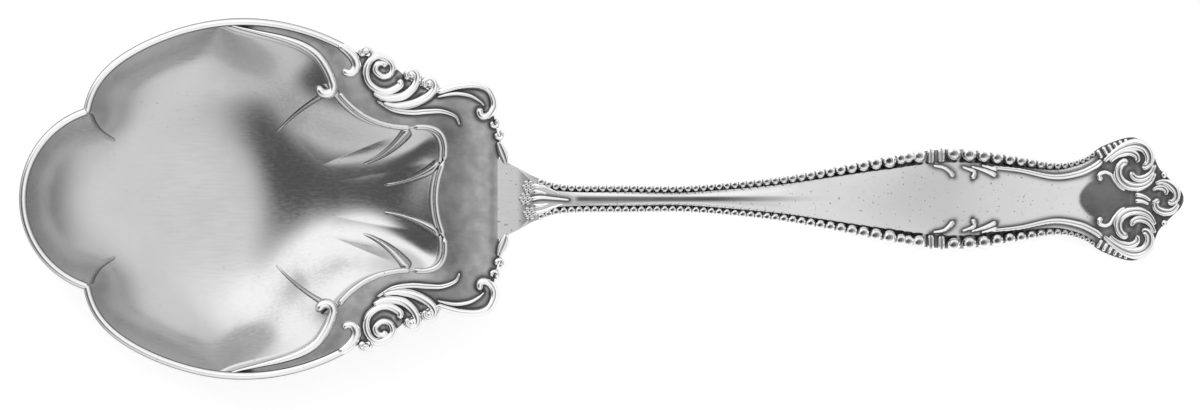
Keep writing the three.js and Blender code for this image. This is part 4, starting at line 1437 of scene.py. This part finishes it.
@dataclass
class HandleForm:
    """Shape of the handle that its body, its beads and its ornament share."""

    start: float = 51.3
    neck_half: float = 7.9
    neck_length: float = 13.0
    stem_half: float = 2.65
    stem_end_from_tip: float = 97.5
    blade_half: float = 9.7
    blade_from_tip: float = 45.5
    waist_half: float = 7.1
    waist_from_tip: float = 25.0
    end_half: float = 12.2
    end_from_tip: float = 10.1
    tip_half: float = 0.5
    tip: float = 186.4
    neck_curve: Points = ((0, 0), (0.3, 0.36), (0.56, 0.7), (1, 0.97))
    stem_curve: Points = ((0.5, 1), (1, 1))
    blade_curve: Points = ((0.3, 0.2), (0.5, 0.44), (0.78, 0.85), (0.94, 1))
    waist_curve: Points = ((0.17, 0), (0.6, 0.5), (1, 1))
    end_curve: Points = ((0.35, 0.2), (0.62, 0.68), (1, 1))
    tip_curve: Points = ((0.35, 0.19), (0.51, 0.5), (0.73, 0.71), (0.93, 0.88), (1, 1))
    outline_steps: int = 900
    thickness: float = 2.0
    stem_extra: float = 0.9
    stem_crown: float = 0.8
    blade_crown: float = 0.8
    crown_power: float = 3.0
    crown_start: Pair = (58.0, 90.0)
    neck_height: float = 15.79
    arch_height: float = 19.0
    arch_from_tip: float = 80.0
    low_from_tip: float = 20.0
    tip_lift: float = 2.6
    ledge_depth: float = 0.45
    ledge_run_out: float = 4.0
    plain_edge: float = 0.05
    stem_bead: float = 0.78
    blade_bead: float = 1.5
    waist_bead: float = 0.6
    blade_bead_power: float = 2.6
    waist_bead_power: float = 1.3
    smallest_past_waist: float = 3.0
    bead_overhang: float = 0.4
    neck_to_beads: float = 7.5
    beads_to_tip: float = 17.5
    collar_from_tip: float = 50.3
    collar_length: float = 13.0

    def __post_init__(self) -> None:
        """Works out the places along the handle and its edge."""
        self.stem_start = self.start + self.neck_length
        self.stem_end = self.tip - self.stem_end_from_tip
        self.blade = self.tip - self.blade_from_tip
        self.waist = self.tip - self.waist_from_tip
        self.end = self.tip - self.end_from_tip
        self.bead_start = self.start + self.neck_to_beads
        self.bead_end = self.tip - self.beads_to_tip
        self.collar_start = self.tip - self.collar_from_tip - self.collar_length / 2
        self.collar_end = self.collar_start + self.collar_length
        places = [
            (self.start, self.neck_half, self.stem_start, self.stem_half, self.neck_curve),
            (self.stem_start, self.stem_half, self.stem_end, self.stem_half, self.stem_curve),
            (self.stem_end, self.stem_half, self.blade, self.blade_half, self.blade_curve),
            (self.blade, self.blade_half, self.waist, self.waist_half, self.waist_curve),
            (self.waist, self.waist_half, self.end, self.end_half, self.end_curve),
            (self.end, self.end_half, self.tip, self.tip_half, self.tip_curve),
        ]
        points = [
            (mixed(x1, x2, along), mixed(half1, half2, change))
            for x1, half1, x2, half2, curve in places for along, change in curve
        ]
        self.outline = spline(plan(*points), self.outline_steps)

    def edge(self, x: Array) -> Array:
        """Half width of the handle."""
        return np.interp(x, self.outline[:, 0], self.outline[:, 1])

    def ledge(self, x: Array) -> Array:
        """Height of the bead ledge, the long S of the side view.

        Args:
            x: Places along the handle.

        Returns:
            Heights.
        """
        arch, low = self.tip - self.arch_from_tip, self.tip - self.low_from_tip
        rising = mixed(self.neck_height, self.arch_height, smoothstep(x, self.start, arch))
        falling = mixed(self.arch_height, self.thickness, smoothstep(x, arch, low))
        lifting = self.thickness + self.tip_lift * (np.clip(x - low, 0, None) / (self.tip - low)) ** 2
        return np.where(x < arch, rising, np.where(x < low, falling, lifting))

    def bead_radius(self, x: Array) -> Array:
        """Radius of the beads, which grow to the collar and shrink to the waist.

        Args:
            x: Places along the handle.

        Returns:
            Radii.
        """
        grown_share = np.clip((x - self.stem_end) / (self.collar_start - self.stem_end), 0, 1)
        smallest = self.waist + self.smallest_past_waist
        shrunk = np.clip((x - self.collar_end) / (smallest - self.collar_end), 0, 1)
        before = mixed(self.stem_bead, self.blade_bead, grown_share ** self.blade_bead_power)
        after = mixed(self.blade_bead, self.waist_bead, shrunk ** self.waist_bead_power)
        return np.where(x < self.collar_start, before, after)

    def ledge_share(self, x: Array) -> Array:
        """Share of the bead ledge that is sunk in the edge: none on the neck or the end."""
        return (smoothstep(x, self.bead_start - self.ledge_run_out, self.bead_start)
                * (1 - smoothstep(x, self.bead_end, self.bead_end + self.ledge_run_out)))

    def field_half(self, x: Array) -> Array:
        """Half width of the smooth field between the beads."""
        width = self.bead_radius(x) * (2 - self.bead_overhang)
        return self.edge(x) - self.plain_edge - (width - self.plain_edge) * self.ledge_share(x)

    def crown(self, x: Array) -> Array:
        """Height of the field's crown."""
        height = mixed(self.stem_crown, self.blade_crown, smoothstep(x, self.stem_end, self.blade))
        return height * smoothstep(x, *self.crown_start) * (1 - smoothstep(x, self.waist, self.end))

    def field(self, points: Array) -> Array:
        """Height of the field.

        Args:
            points: Plan points.

        Returns:
            Heights.
        """
        x, y = points[..., 0], np.abs(points[..., 1])
        across = np.minimum(y / self.field_half(x), 1)
        return (self.ledge(x) + self.ledge_depth * self.ledge_share(x)
                + self.crown(x) * (1 - across ** self.crown_power))

    def bead_line(self, x: Array, radius: Array) -> Array:
        """Plan points of the middles of beads on the right edge."""
        return np.column_stack([x, self.edge(x) - radius * (1 - self.bead_overhang)])


@dataclass
class Handle:
    """The handle's body: neck, stem, blade, waist and end, with the tongue under the shoulder."""

    form: HandleForm
    bowl: BowlForm
    finish: Material
    ornament: list[Stroke]
    terminal: list[Stroke]
    stations: int = 520
    crown_samples: int = 18
    back_samples: int = 8
    step_width: float = 0.12
    side_share: float = 0.35
    side_power: float = 0.4
    edge_inset: float = 0.05
    edge_drop: float = 0.1
    upper_margin: float = 0.05
    # Where the painted shadow line beside the bead ledge fades in across the field.
    field_edge: Pair = (0.93, 1.0)
    # How far the first two stations are moved back to lap the shoulder's edge.
    lap: Pair = (0.6, 0.58)
    tarnish_reach: float = 0.5
    terminal_reach: float = 1.3
    # Painted shadow along the bead ledge beside the field, and painted shade with tarnish in the gaps between
    # beads.
    ledge_shadow: float = 0.15
    gap_shade_and_tarnish: float = 0.5
    # A painted dark reflection on the panel between the end's volutes: its middle, size, shape, darkness and
    # edge.
    panel: Pair = (171.0, 0.4)
    panel_size: Pair = (5.6, 4.8)
    panel_power: float = 1.5
    panel_dark_reflection: float = 0.95
    panel_edge: Pair = (0.8, 1.0)
    # The neck is darker near its start, and this fades out along it.
    neck_darkening: float = 0.2
    neck_fade: Pair = (58.0, 66.0)
    # A painted dark reflection line along the stem's crest: its ends, half width, shape, fades and darkness.
    stem_line: Pair = (65.6, 118.0)
    stem_line_half: float = 0.5
    stem_line_power: int = 4
    stem_line_fade: Pair = (1.5, 26.0)
    stem_line_dark_reflection: float = 0.9
    tongue_reach: float = 11.0
    tongue_run: float = 13.0
    tongue_depth: float = 1.7
    tongue_share: float = 0.9
    tongue_power: int = 3
    tongue_thinnest: float = 0.01
    tongue_blunt: float = 0.998
    tongue_bite: float = 0.1
    tongue_stations: int = 49
    tongue_samples: int = 25

    def build(self) -> Piece:
        """Makes the handle.

        Returns:
            The handle.
        """
        form = self.form
        x = np.concatenate([np.full(2, form.start), np.linspace(form.start, form.tip, self.stations + 1)])
        half, inner = form.edge(x), form.field_half(x)
        ledge = form.ledge(x)
        stem = smoothstep(x, form.start, form.stem_start) * (1 - smoothstep(x, form.stem_end, form.blade))
        thick = form.thickness + form.stem_extra * stem
        crown = np.linspace(0, 1, self.crown_samples + 1)
        top_y = np.minimum(inner[:, None] * crown, inner[:, None] - self.step_width * (crown == 1))
        top_z = form.field(np.dstack([np.broadcast_to(x[:, None], top_y.shape), top_y]))
        turn = np.linspace(0, np.pi / 2, self.back_samples + 1)
        side_y = half[:, None] * np.cos(turn) ** self.side_power
        side_z = ledge[:, None] - thick[:, None] * mixed(self.side_share, 1, np.sin(turn))
        right_y = np.column_stack([top_y, inner, half - self.edge_inset, half, side_y])
        right_z = np.column_stack([top_z, ledge, ledge, ledge - self.edge_drop, side_z])
        sunk = form.ledge_share(x)
        # The ledge takes a painted shadow line and the gaps take painted shade with tarnish; the field adds
        # its painted dark reflections and its darker neck.
        beside, gaps = self.ledge_shadow * sunk, self.gap_shade_and_tarnish * sunk
        field_edge = smoothstep(np.abs(top_y) / inner[:, None], *self.field_edge) * beside[:, None]
        field_darkening_share = np.maximum(field_edge, self.field_darkening(x[:, None], top_y))
        right_darkening = np.column_stack([field_darkening_share, beside, gaps, gaps, np.zeros_like(side_y)])
        left = slice(-2, 0, -1)
        y = np.concatenate([right_y, -right_y[:, left]], axis=1)
        z = np.concatenate([right_z, right_z[:, left]], axis=1)
        stain = np.concatenate([right_darkening, right_darkening[:, left]], axis=1)
        shown_x = x.copy()
        shown_x[:2] -= self.lap
        rings = np.dstack([np.broadcast_to(shown_x[:, None], y.shape), y, z])
        flat = rings[..., :2].reshape(-1, 2)
        near = np.maximum(near_strokes(flat, self.ornament, self.tarnish_reach),
                          near_strokes(flat, self.terminal, self.terminal_reach)).reshape(y.shape)
        facing_up = z > ledge[:, None] - self.upper_margin
        skin = Skin()
        skin.add_tube(rings, np.clip(np.maximum(stain, near * facing_up), 0, 1))
        self.add_tongue(skin)
        return install(skin.build("silver_handle", self.finish), Slot.POLISHED, "handle")

    def field_darkening(self, x: Array, y: Array) -> Array:
        """Darkening of the field: a painted dark reflection on the panel between the end's volutes and along
        the stem's crest, and a darker start of the neck.

        Args:
            x: Places along the handle.
            y: Places across it.

        Returns:
            Shares of tarnish.
        """
        across = np.abs(x - self.panel[0]) / self.panel_size[0]
        up = np.abs(y - self.panel[1]) / self.panel_size[1]
        reach = across ** self.panel_power + up ** self.panel_power
        panel = self.panel_dark_reflection * (1 - smoothstep(reach, *self.panel_edge))
        neck = self.neck_darkening * (1 - smoothstep(x, *self.neck_fade))
        start, stop = self.stem_line
        fade_in, fade_out = self.stem_line_fade
        along = smoothstep(x, start, start + fade_in) * (1 - smoothstep(x, stop - fade_out, stop))
        line = self.stem_line_dark_reflection * bell(y, self.stem_line_half, self.stem_line_power) * along
        return np.maximum(np.maximum(panel, line), neck)

    def add_tongue(self, skin: Skin) -> None:
        """Adds the drop that laps under the shoulder.

        Args:
            skin: The handle's skin.
        """
        form = self.form
        share = np.linspace(0, 1, self.tongue_stations)
        x = form.start - self.tongue_reach + share * (self.tongue_reach + self.tongue_run)
        lap = np.clip((form.start - x) / self.tongue_reach, 0, self.tongue_blunt)
        half = form.edge(x) * self.tongue_share * np.sqrt(1 - lap ** 2)
        swell = np.clip(1 - np.abs(2 * share - 1) ** self.tongue_power, self.tongue_thinnest, 1)
        depth = self.tongue_depth * np.sqrt(swell)
        top = self.bowl.rim_height(np.column_stack([x, x])) - self.bowl.sheet + self.tongue_bite
        turn = np.linspace(0, np.pi, self.tongue_samples)
        y = half[:, None] * np.cos(turn)
        z = top[:, None] - depth[:, None] * np.sin(turn)
        skin.add_tube(np.dstack([np.broadcast_to(x[:, None], y.shape), y, z]), np.zeros_like(y))


@dataclass
class BeadBorders:
    """Graded beads along the handle's edges, with a collar of bars at the widest place."""

    form: HandleForm
    finish: Material
    segments: int = 16
    rings: int = 12
    squat: float = 1.35
    seat: float = 0.45
    collar_beads: Points = ((130.5, 1.25), (132.0, 1.2), (134.1, 1.4), (141.0, 1.4))
    collar_bars: tuple[float, ...] = (136.5, 138.6)
    bar_half: float = 0.8
    bar_reach: Pair = (2.7, 0.3)
    bar_rise: float = 1.3

    def row(self, start: float, stop: float) -> tuple[Array, Array]:
        """Places and radii of the beads between two places along the handle.

        Args:
            start: Where the row starts.
            stop: Where it ends.

        Returns:
            Places along the handle, and radii.
        """
        marks = [start]
        while marks[-1] < stop:
            x = marks[-1]
            radius = float(self.form.bead_radius(np.array(x)))
            rise = np.diff(self.form.edge(np.array([x - radius, x + radius])))[0] / (2 * radius)
            marks.append(x + 2 * radius / math.hypot(1, rise))
        fitted = start + (np.array(marks) - start) * (stop - start) / (marks[-1] - start)
        middle = (fitted[1:] + fitted[:-1]) / 2
        return middle, self.form.bead_radius(middle)

    def build(self) -> list[Piece]:
        """Makes the bead rows and collars on both sides.

        Returns:
            The pieces.
        """
        form = self.form
        collar_x, collar_radius = np.array(self.collar_beads).T
        rows = {
            "stem_beads": self.row(form.bead_start, form.collar_start),
            "end_beads": self.row(form.collar_end, form.bead_end),
            "collar": (collar_x, collar_radius),
        }
        pieces = []
        for node, (x, radius) in rows.items():
            for side, sign in (("right", 1), ("left", -1)):
                line = form.bead_line(x, radius) * (1, sign)
                z = form.ledge(x) + self.seat * radius
                places = np.column_stack([line, z]) * MM
                name = f"silver_{side}_{node}"
                sizes = {"Segments": self.segments, "Rings": self.rings, "Squat": self.squat}
                piece = grown(name, places, bead_row(), sizes, self.finish, radii=radius * MM)
                if node == "collar":
                    piece = self.with_bars(piece, sign)
                pieces.append(install(piece, Slot.STRUCK, f"{side}_{node}"))
        return pieces

    def bars(self) -> list[Stroke]:
        """The right collar's upright bars.

        Returns:
            A stroke for each bar.
        """
        strokes = []
        for x in self.collar_bars:
            edge = float(self.form.edge(np.array(x)))
            path = plan((x, edge - self.bar_reach[0]), (x, edge + self.bar_reach[1]))
            strokes.append(Stroke(path, constant(self.bar_half), constant(self.bar_rise), Profile.SLOT))
        return strokes

    def with_bars(self, beads: Piece, sign: int) -> Piece:
        """Joins a collar's upright bars to its beads.

        Args:
            beads: The collar's beads.
            sign: 1 on the right side, -1 on the left.

        Returns:
            The collar.
        """
        bars = self.bars() if sign > 0 else on_the_left(self.bars())
        skin = relief(bars, lambda points: self.form.ledge(points[:, 0]))
        return merged(beads, skin.build("bars", self.finish))


@dataclass
class HandleOrnament:
    """Palmette at the neck, leaves beside the collars and the border lines of the waist."""

    form: HandleForm
    finish: Material
    rosettes: Points = ((57.0, 2.4), (56.4, 0.0), (57.2, -2.8))
    rosette_radius: float = 0.9
    petals: int = 6
    petal: float = 0.5
    petal_segments: int = 12
    petal_rings: int = 8
    petal_squat: float = 1.1
    palmette_stem: Curve = Curve(((57.4, 0.0), (59.4, 0.3), (62.0, 0.1), (65.0, -0.2)))
    palmette_leaves: tuple[Curve, ...] = (
        Curve(((57.6, 2.6), (59.6, 2.5), (61.4, 1.8), (63.2, 1.0))),
        Curve(((57.8, 1.4), (59.2, 1.4), (60.6, 1.0))),
        Curve(((57.8, -2.9), (59.8, -2.5), (61.8, -1.7), (63.8, -1.0))),
        Curve(((57.9, -1.4), (59.4, -1.3), (61.0, -0.9))),
    )
    sprig_leaves: tuple[Curve, ...] = (
        Curve(((136.9, 6.6), (139.3, 6.1), (141.1, 4.4)), 24),
        Curve(((142.6, 6.4), (145.0, 5.4), (144.7, 3.9)), 24),
        Curve(((144.4, 6.5), (147.2, 5.6), (149.5, 4.6)), 24),
        Curve(((146.4, 6.7), (148.0, 6.3), (149.8, 5.8)), 24),
    )
    leaf_half: Pair = (0.25, 0.6)
    leaf_tip: float = 0.2
    fillet: Curve = Curve((
        (148.5, 6.3), (154.1, 5.7), (160.7, 4.4), (165.5, 5.0), (168.6, 6.3), (170.4, 7.6),
    ), 80)
    fillet_half: Pair = (0.4, 0.75)
    steep: float = 1.5

    def palmette(self) -> Piece:
        """Makes three small rosettes of beads at the root of the stem, with a stalk and leaves.

        Returns:
            The palmette.
        """
        flat = np.vstack([
            points
            for centre in self.rosettes
            for points in (centre, arc(centre, self.rosette_radius, 0, 360, self.petals)[1:])
        ])
        places = np.column_stack([flat, self.form.field(flat)]) * MM
        sizes = {"Segments": self.petal_segments, "Rings": self.petal_rings, "Squat": self.petal_squat}
        radii = np.full(len(flat), self.petal) * MM
        beads = grown("silver_neck_palmette", places, bead_row(), sizes, self.finish, radii=radii)
        return merged(beads, relief(self.foliage(), self.form.field).build("foliage", self.finish))

    def foliage(self) -> list[Stroke]:
        """The palmette's thin stalk, and the low leaves beside it.

        Returns:
            The stalk and then the leaves.
        """
        size, low = tapered(self.petal, self.leaf_tip), constant(self.leaf_tip)
        stalk = Stroke(self.palmette_stem.path(), size, size)
        return [stalk, *[Stroke(leaf.path(), size, low) for leaf in self.palmette_leaves]]

    def widening(self, curve: Curve, half: Pair, profile: Profile = Profile.ROUND) -> Stroke:
        """A stroke that widens along its way and rises with its width."""
        rise = tapered(half[0] * self.steep, half[1] * self.steep)
        return Stroke(curve.path(), tapered(*half), rise, profile)

    def sprig(self) -> list[Stroke]:
        """Leaves on the right side, each with a round head."""
        return [self.widening(leaf, self.leaf_half) for leaf in self.sprig_leaves]

    def border(self) -> list[Stroke]:
        """The grooved border line on the right side."""
        return [self.widening(self.fillet, self.fillet_half, Profile.BAND)]

    def strokes(self) -> list[Stroke]:
        """Strokes on both sides beside which tarnish gathers on the handle.

        Returns:
            The rosettes' round seats, the palmette's stalk, the leaves and the border lines.
        """
        wide, low = constant(self.rosette_radius + self.petal), constant(self.petal)
        seats = [Stroke(plan((x - self.petal, y), (x + self.petal, y)), wide, low) for x, y in self.rosettes]
        return [*seats, self.foliage()[0], *on_both_sides([*self.sprig(), *self.border()])]

    def build(self) -> list[Piece]:
        """Makes the ornament.

        Returns:
            The pieces.
        """
        pieces = [install(self.palmette(), Slot.STRUCK, "neck_palmette")]
        groups = {
            "right_sprig": self.sprig(),
            "right_fillet": self.border(),
            "left_sprig": on_the_left(self.sprig()),
            "left_fillet": on_the_left(self.border()),
        }
        return pieces + struck_pieces(groups, self.form, self.finish)


@dataclass(frozen=True)
class Comma:
    """A fat comma of relief: its points, its half widths at tail, middle and head, and its rise."""

    points: Points
    half: tuple[float, float, float]
    rise: float
    boldness: float = 1.2
    steps: int = 70

    def size(self, share: Array) -> Array:
        """Half width along the comma."""
        return self.boldness * np.interp(share, np.linspace(0, 1, len(self.half)), self.half)

    def stroke(self) -> Stroke:
        """The comma as a stroke with a dark core."""
        return Stroke(Curve(self.points, self.steps).path(), self.size, constant(self.rise), Profile.BAND)


@dataclass
class Terminal:
    """End of the handle: a pinwheel of commas on the tip and one on each side of it."""

    form: HandleForm
    finish: Material
    side_commas: tuple[Comma, ...] = (
        Comma(((170.6, 7.3), (172.6, 9.0), (174.6, 10.2), (176.7, 10.7), (178.5, 10.2), (179.5, 8.9),
               (179.6, 7.4), (178.9, 6.5), (178.0, 6.6)), (0.4, 1.05, 0.8), 1.3),
        Comma(((171.8, 7.2), (173.4, 8.6), (175.4, 9.2), (176.9, 8.7), (177.3, 7.8), (176.8, 7.3)),
              (0.35, 0.75, 0.6), 1.1),
        Comma(((180.9, 5.2), (179.7, 3.3), (177.9, 2.4), (175.7, 2.5), (174.2, 3.4), (173.5, 4.9),
               (173.7, 6.3), (174.6, 7.2), (175.6, 7.0)), (0.4, 0.95, 0.75), 1.3),
        Comma(((180.8, 6.8), (180.0, 5.2), (178.8, 4.2), (177.3, 4.0), (176.3, 4.7), (176.5, 5.5)),
              (0.35, 0.75, 0.6), 1.1),
    )
    tip_commas: tuple[Comma, ...] = (
        Comma(((180.7, 3.0), (182.1, 3.4), (183.6, 2.9), (184.8, 1.6), (184.9, 0.1), (184.1, -0.7),
               (183.2, -0.3)), (0.35, 0.85, 0.6), 1.2),
        Comma(((180.2, 1.6), (181.2, 2.2), (182.4, 2.1), (183.0, 1.4), (182.5, 0.9)), (0.3, 0.6, 0.5), 1.0),
        Comma(((185.5, -0.9), (184.2, -2.3), (182.5, -2.6), (181.1, -1.9), (180.9, -0.7), (181.8, -0.2)),
              (0.35, 0.85, 0.6), 1.2),
    )
    acanthus: Curve = Curve((
        (174.9, 1.6), (173.7, 2.3), (172.6, 3.7), (171.9, 4.9), (170.9, 5.3), (169.9, 4.9), (169.8, 4.1),
        (170.6, 3.9),
    ), 60)
    acanthus_half: Pair = (0.3, 0.65)
    acanthus_rise: float = 0.8
    centre_leaves: tuple[Curve, ...] = (
        Curve(((180.0, -0.4), (178.4, 0.6), (176.7, 0.9))),
        Curve(((179.6, -1.1), (178.2, -0.5), (176.7, -0.4))),
    )
    lobe_half: Pair = (0.3, 0.6)
    side_bead: Pair = (182.6, 4.8)
    bead_half: float = 0.8
    feathers: int = 6
    feather_places: Pair = (169.4, 174.8)
    feather_reach: Pair = (1.9, 0.2)
    feather_half: float = 0.42

    def side_strokes(self) -> list[Stroke]:
        """The right volute with its acanthus curl, its feathers and the bead beside the tip.

        Returns:
            The right side's strokes.
        """
        strokes = [
            Stroke(self.acanthus.path(), tapered(*self.acanthus_half), constant(self.acanthus_rise)),
            *[comma.stroke() for comma in self.side_commas],
            dot(self.side_bead, self.bead_half, self.bead_half),
        ]
        size = constant(self.feather_half)
        deep, shallow = self.feather_reach
        for x in np.linspace(*self.feather_places, self.feathers):
            edge = float(self.form.edge(np.array(x)))
            strokes.append(Stroke(plan((x + deep / 2, edge - deep), (x, edge - shallow)), size, size))
        return strokes

    def tip_strokes(self) -> list[Stroke]:
        """The tip's volute with its two-lobed leaf.

        Returns:
            The tip's strokes.
        """
        size = tapered(*self.lobe_half)
        leaves = [Stroke(leaf.path(), size, size) for leaf in self.centre_leaves]
        return [*leaves, *[comma.stroke() for comma in self.tip_commas]]

    def strokes(self) -> list[Stroke]:
        """All strokes of the end."""
        return [*on_both_sides(self.side_strokes()), *self.tip_strokes()]

    def build(self) -> list[Piece]:
        """Makes the volutes.

        Returns:
            The pieces.
        """
        groups = {
            "right_end_volute": self.side_strokes(),
            "left_end_volute": on_the_left(self.side_strokes()),
            "tip_volute": self.tip_strokes(),
        }
        return struck_pieces(groups, self.form, self.finish)


def struck_pieces(groups: dict[str, list[Stroke]], form: HandleForm, finish: Material) -> list[Piece]:
    """Makes pieces of relief on the handle's field.

    Args:
        groups: The strokes of each CAD node's piece.
        form: The handle's form.
        finish: The pieces' material.

    Returns:
        The pieces.
    """
    return [
        install(relief(strokes, form.field).build(f"silver_{node}", finish), Slot.STRUCK, node)
        for node, strokes in groups.items()
    ]


# Geometry node trees

# Painted shade on the steep sides and undersides of wires and beads, with tarnish where they meet their seat.
WIRE_SIDES: Pair = (0.45, 0.8)
BEAD_SIDES: Pair = (0.0, 0.3)
# A painted dark reflection on each bead's top; the other range lies past 1, so no top is painted.
BEAD_TOP_REFLECTION: Pair = (0.9, 0.97)
UNPAINTED_TOP: Pair = (1.1, 1.2)


def new_tree(name: str, sizes: dict[str, str]) -> tuple[Graph, bpy.types.Node]:
    """Starts a geometry node tree with named inputs.

    Args:
        name: The tree's name.
        sizes: Socket type of each input.

    Returns:
        The tree and its input node.
    """
    tree = bpy.data.node_groups.new(name, "GeometryNodeTree")
    graph = Graph(tree)
    tree.interface.new_socket("Geometry", in_out="INPUT", socket_type="NodeSocketGeometry")
    for size, kind in sizes.items():
        tree.interface.new_socket(size, in_out="INPUT", socket_type=kind)
    tree.interface.new_socket("Geometry", in_out="OUTPUT", socket_type="NodeSocketGeometry")
    return graph, graph.node("NodeGroupInput")


def dressed(graph: Graph, geometry: Socket, material: Socket) -> None:
    """Ends a tree: real geometry, smooth, in its finish.

    Args:
        graph: The tree.
        geometry: What it has made.
        material: The finish's input socket.
    """
    real = graph.node("GeometryNodeRealizeInstances", {"Geometry": geometry})
    smooth = graph.node("GeometryNodeSetShadeSmooth", {"Geometry": real.outputs[0]})
    finish = graph.node("GeometryNodeSetMaterial", {"Geometry": smooth.outputs[0], "Material": material})
    graph.node("NodeGroupOutput", {"Geometry": finish.outputs[0]})


def darkened_by_normal(graph: Graph, geometry: Socket, sides: Pair, top: Pair = UNPAINTED_TOP) -> Socket:
    """Stores darkening on a mesh by its normal's share upwards, which is 1 where a face looks straight up.

    Args:
        graph: The tree.
        geometry: The mesh.
        sides: Share below which all is darkened by painted shade and tarnish, and share above which nothing
            is.
        top: Share where a painted dark reflection starts on the very top, and share where it is full there.

    Returns:
        The mesh with its darkening.
    """
    normal = graph.node("GeometryNodeInputNormal").outputs[0]
    up = graph.node("ShaderNodeSeparateXYZ", {0: normal}).outputs["Z"]
    stain = graph.math("MAXIMUM", graph.ramp(up, *sides, 1.0, 0.0), graph.ramp(up, *top, 0.0, 1.0))
    inputs = {"Geometry": geometry, "Name": TARNISH_AND_SHADE, "Value": stain}
    return graph.node("GeometryNodeStoreNamedAttribute", inputs, data_type="FLOAT", domain="POINT").outputs[0]


def swept_wire() -> bpy.types.NodeTree:
    """Makes a tree that sweeps a round wire along a line.

    Returns:
        The tree.
    """
    kinds = {"Radius": "NodeSocketFloat", "Sides": "NodeSocketInt", "Material": "NodeSocketMaterial"}
    graph, given = new_tree("swept_wire", kinds)
    line = graph.node("GeometryNodeMeshToCurve", {"Mesh": given.outputs["Geometry"]})
    ring = graph.node("GeometryNodeCurvePrimitiveCircle", {
        "Resolution": given.outputs["Sides"], "Radius": given.outputs["Radius"]})
    wire = graph.node("GeometryNodeCurveToMesh", {
        "Curve": line.outputs[0], "Profile Curve": ring.outputs[0], "Fill Caps": True})
    # The wire's steep sides take painted shade, with tarnish at its foot.
    dressed(graph, darkened_by_normal(graph, wire.outputs[0], WIRE_SIDES), given.outputs["Material"])
    return graph.tree


def bead_row() -> bpy.types.NodeTree:
    """Makes a tree that sets a bead of its own radius on each point.

    Returns:
        The tree.
    """
    kinds = {"Segments": "NodeSocketInt", "Rings": "NodeSocketInt", "Squat": "NodeSocketFloat",
             "Material": "NodeSocketMaterial"}
    graph, given = new_tree("bead_row", kinds)
    ball = graph.node("GeometryNodeMeshUVSphere", {
        "Segments": given.outputs["Segments"], "Rings": given.outputs["Rings"], "Radius": 1.0})
    dots = graph.node("GeometryNodeMeshToPoints", {"Mesh": given.outputs["Geometry"]})
    kept = graph.node("GeometryNodeInputNamedAttribute", {"Name": BEAD_RADIUS}, data_type="FLOAT")
    radius = kept.outputs[0]
    tall = graph.math("MULTIPLY", radius, given.outputs["Squat"])
    scale = graph.node("ShaderNodeCombineXYZ", {"X": radius, "Y": radius, "Z": tall})
    # Each bead takes painted shade on its sides and underside and a painted dark reflection on its top.
    beads = graph.node("GeometryNodeInstanceOnPoints", {
        "Points": dots.outputs[0], "Instance": darkened_by_normal(graph, ball.outputs[0], BEAD_SIDES, BEAD_TOP_REFLECTION),
        "Scale": scale.outputs[0]})
    dressed(graph, beads.outputs[0], given.outputs["Material"])
    return graph.tree


def grown(name: str, places: Array, tree: bpy.types.NodeTree, sizes: dict[str, float],
          finish: Material, radii: Array | None = None, line: bool = False) -> Piece:
    """Makes a piece from points with a geometry node tree and keeps its plain mesh.

    Args:
        name: The piece's name.
        places: Points in metres, one row each.
        tree: The tree.
        sizes: Values of the tree's named inputs.
        finish: The piece's material.
        radii: Radius kept on each point, in metres.
        line: Whether the points are joined in a line.

    Returns:
        The piece.
    """
    seed = bpy.data.meshes.new(f"{name}_points")
    edges = [(i, i + 1) for i in range(len(places) - 1)] if line else []
    seed.from_pydata(places.tolist(), edges, [])
    if radii is not None:
        layer = seed.attributes.new(BEAD_RADIUS, "FLOAT", "POINT")
        layer.data.foreach_set("value", radii.astype(np.float32))
    source = placed(f"{name}_source", seed)
    modifier = source.modifiers.new("made", "NODES")
    modifier.node_group = tree
    for item in tree.interface.items_tree:
        if item.item_type == "SOCKET" and item.in_out == "INPUT" and item.name in sizes:
            modifier[item.identifier] = sizes[item.name]
        if item.item_type == "SOCKET" and item.name == "Material":
            modifier[item.identifier] = finish
    graph = bpy.context.evaluated_depsgraph_get()
    mesh = bpy.data.meshes.new_from_object(source.evaluated_get(graph))
    mesh.name = name
    mesh.materials.clear()
    mesh.materials.append(finish)
    mesh.polygons.foreach_set("material_index", np.zeros(len(mesh.polygons), np.int32))
    bpy.data.objects.remove(source)
    return placed(name, mesh)


# Frame

class Slot(Enum):
    """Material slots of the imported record."""

    POLISHED = "polished_silver"
    STRUCK = "struck_silver"


def install(piece: Piece, slot: Slot, *nodes: str) -> Piece:
    """Lets a piece ride on the spoon and stand for its CAD nodes.

    Args:
        piece: The piece.
        slot: Not used.
        nodes: The CAD nodes that it replaces.

    Returns:
        The piece.
    """
    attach(piece, BODY)
    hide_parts(*nodes)
    return piece


# Spoon

def main() -> None:
    """Builds the studio and the spoon, and logs each piece's number of faces."""
    logging.basicConfig(level=logging.INFO, format="%(message)s")
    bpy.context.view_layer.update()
    Studio().build()
    polished, struck = POLISHED.material(), STRUCK.material()
    bowl_form, handle_form = BowlForm(), HandleForm()
    ornament = HandleOrnament(handle_form, struck)
    terminal = Terminal(handle_form, struck)
    borders = BeadBorders(handle_form, struck)
    beside = [*ornament.strokes(), *on_both_sides(borders.bars())]
    pieces = [
        Bowl(bowl_form, SATIN.material()).build(),
        *LipWires(bowl_form, BRIGHT.material(), polished).build(),
        *Shoulder(bowl_form, DULL.material(), struck).build(),
        Handle(handle_form, bowl_form, polished, beside, terminal.strokes()).build(),
        *borders.build(),
        *ornament.build(),
        *terminal.build(),
    ]
    for piece in pieces:
        logging.info("%s: %d faces", piece.name, len(piece.data.polygons))


if __name__ == "__main__":
    main()
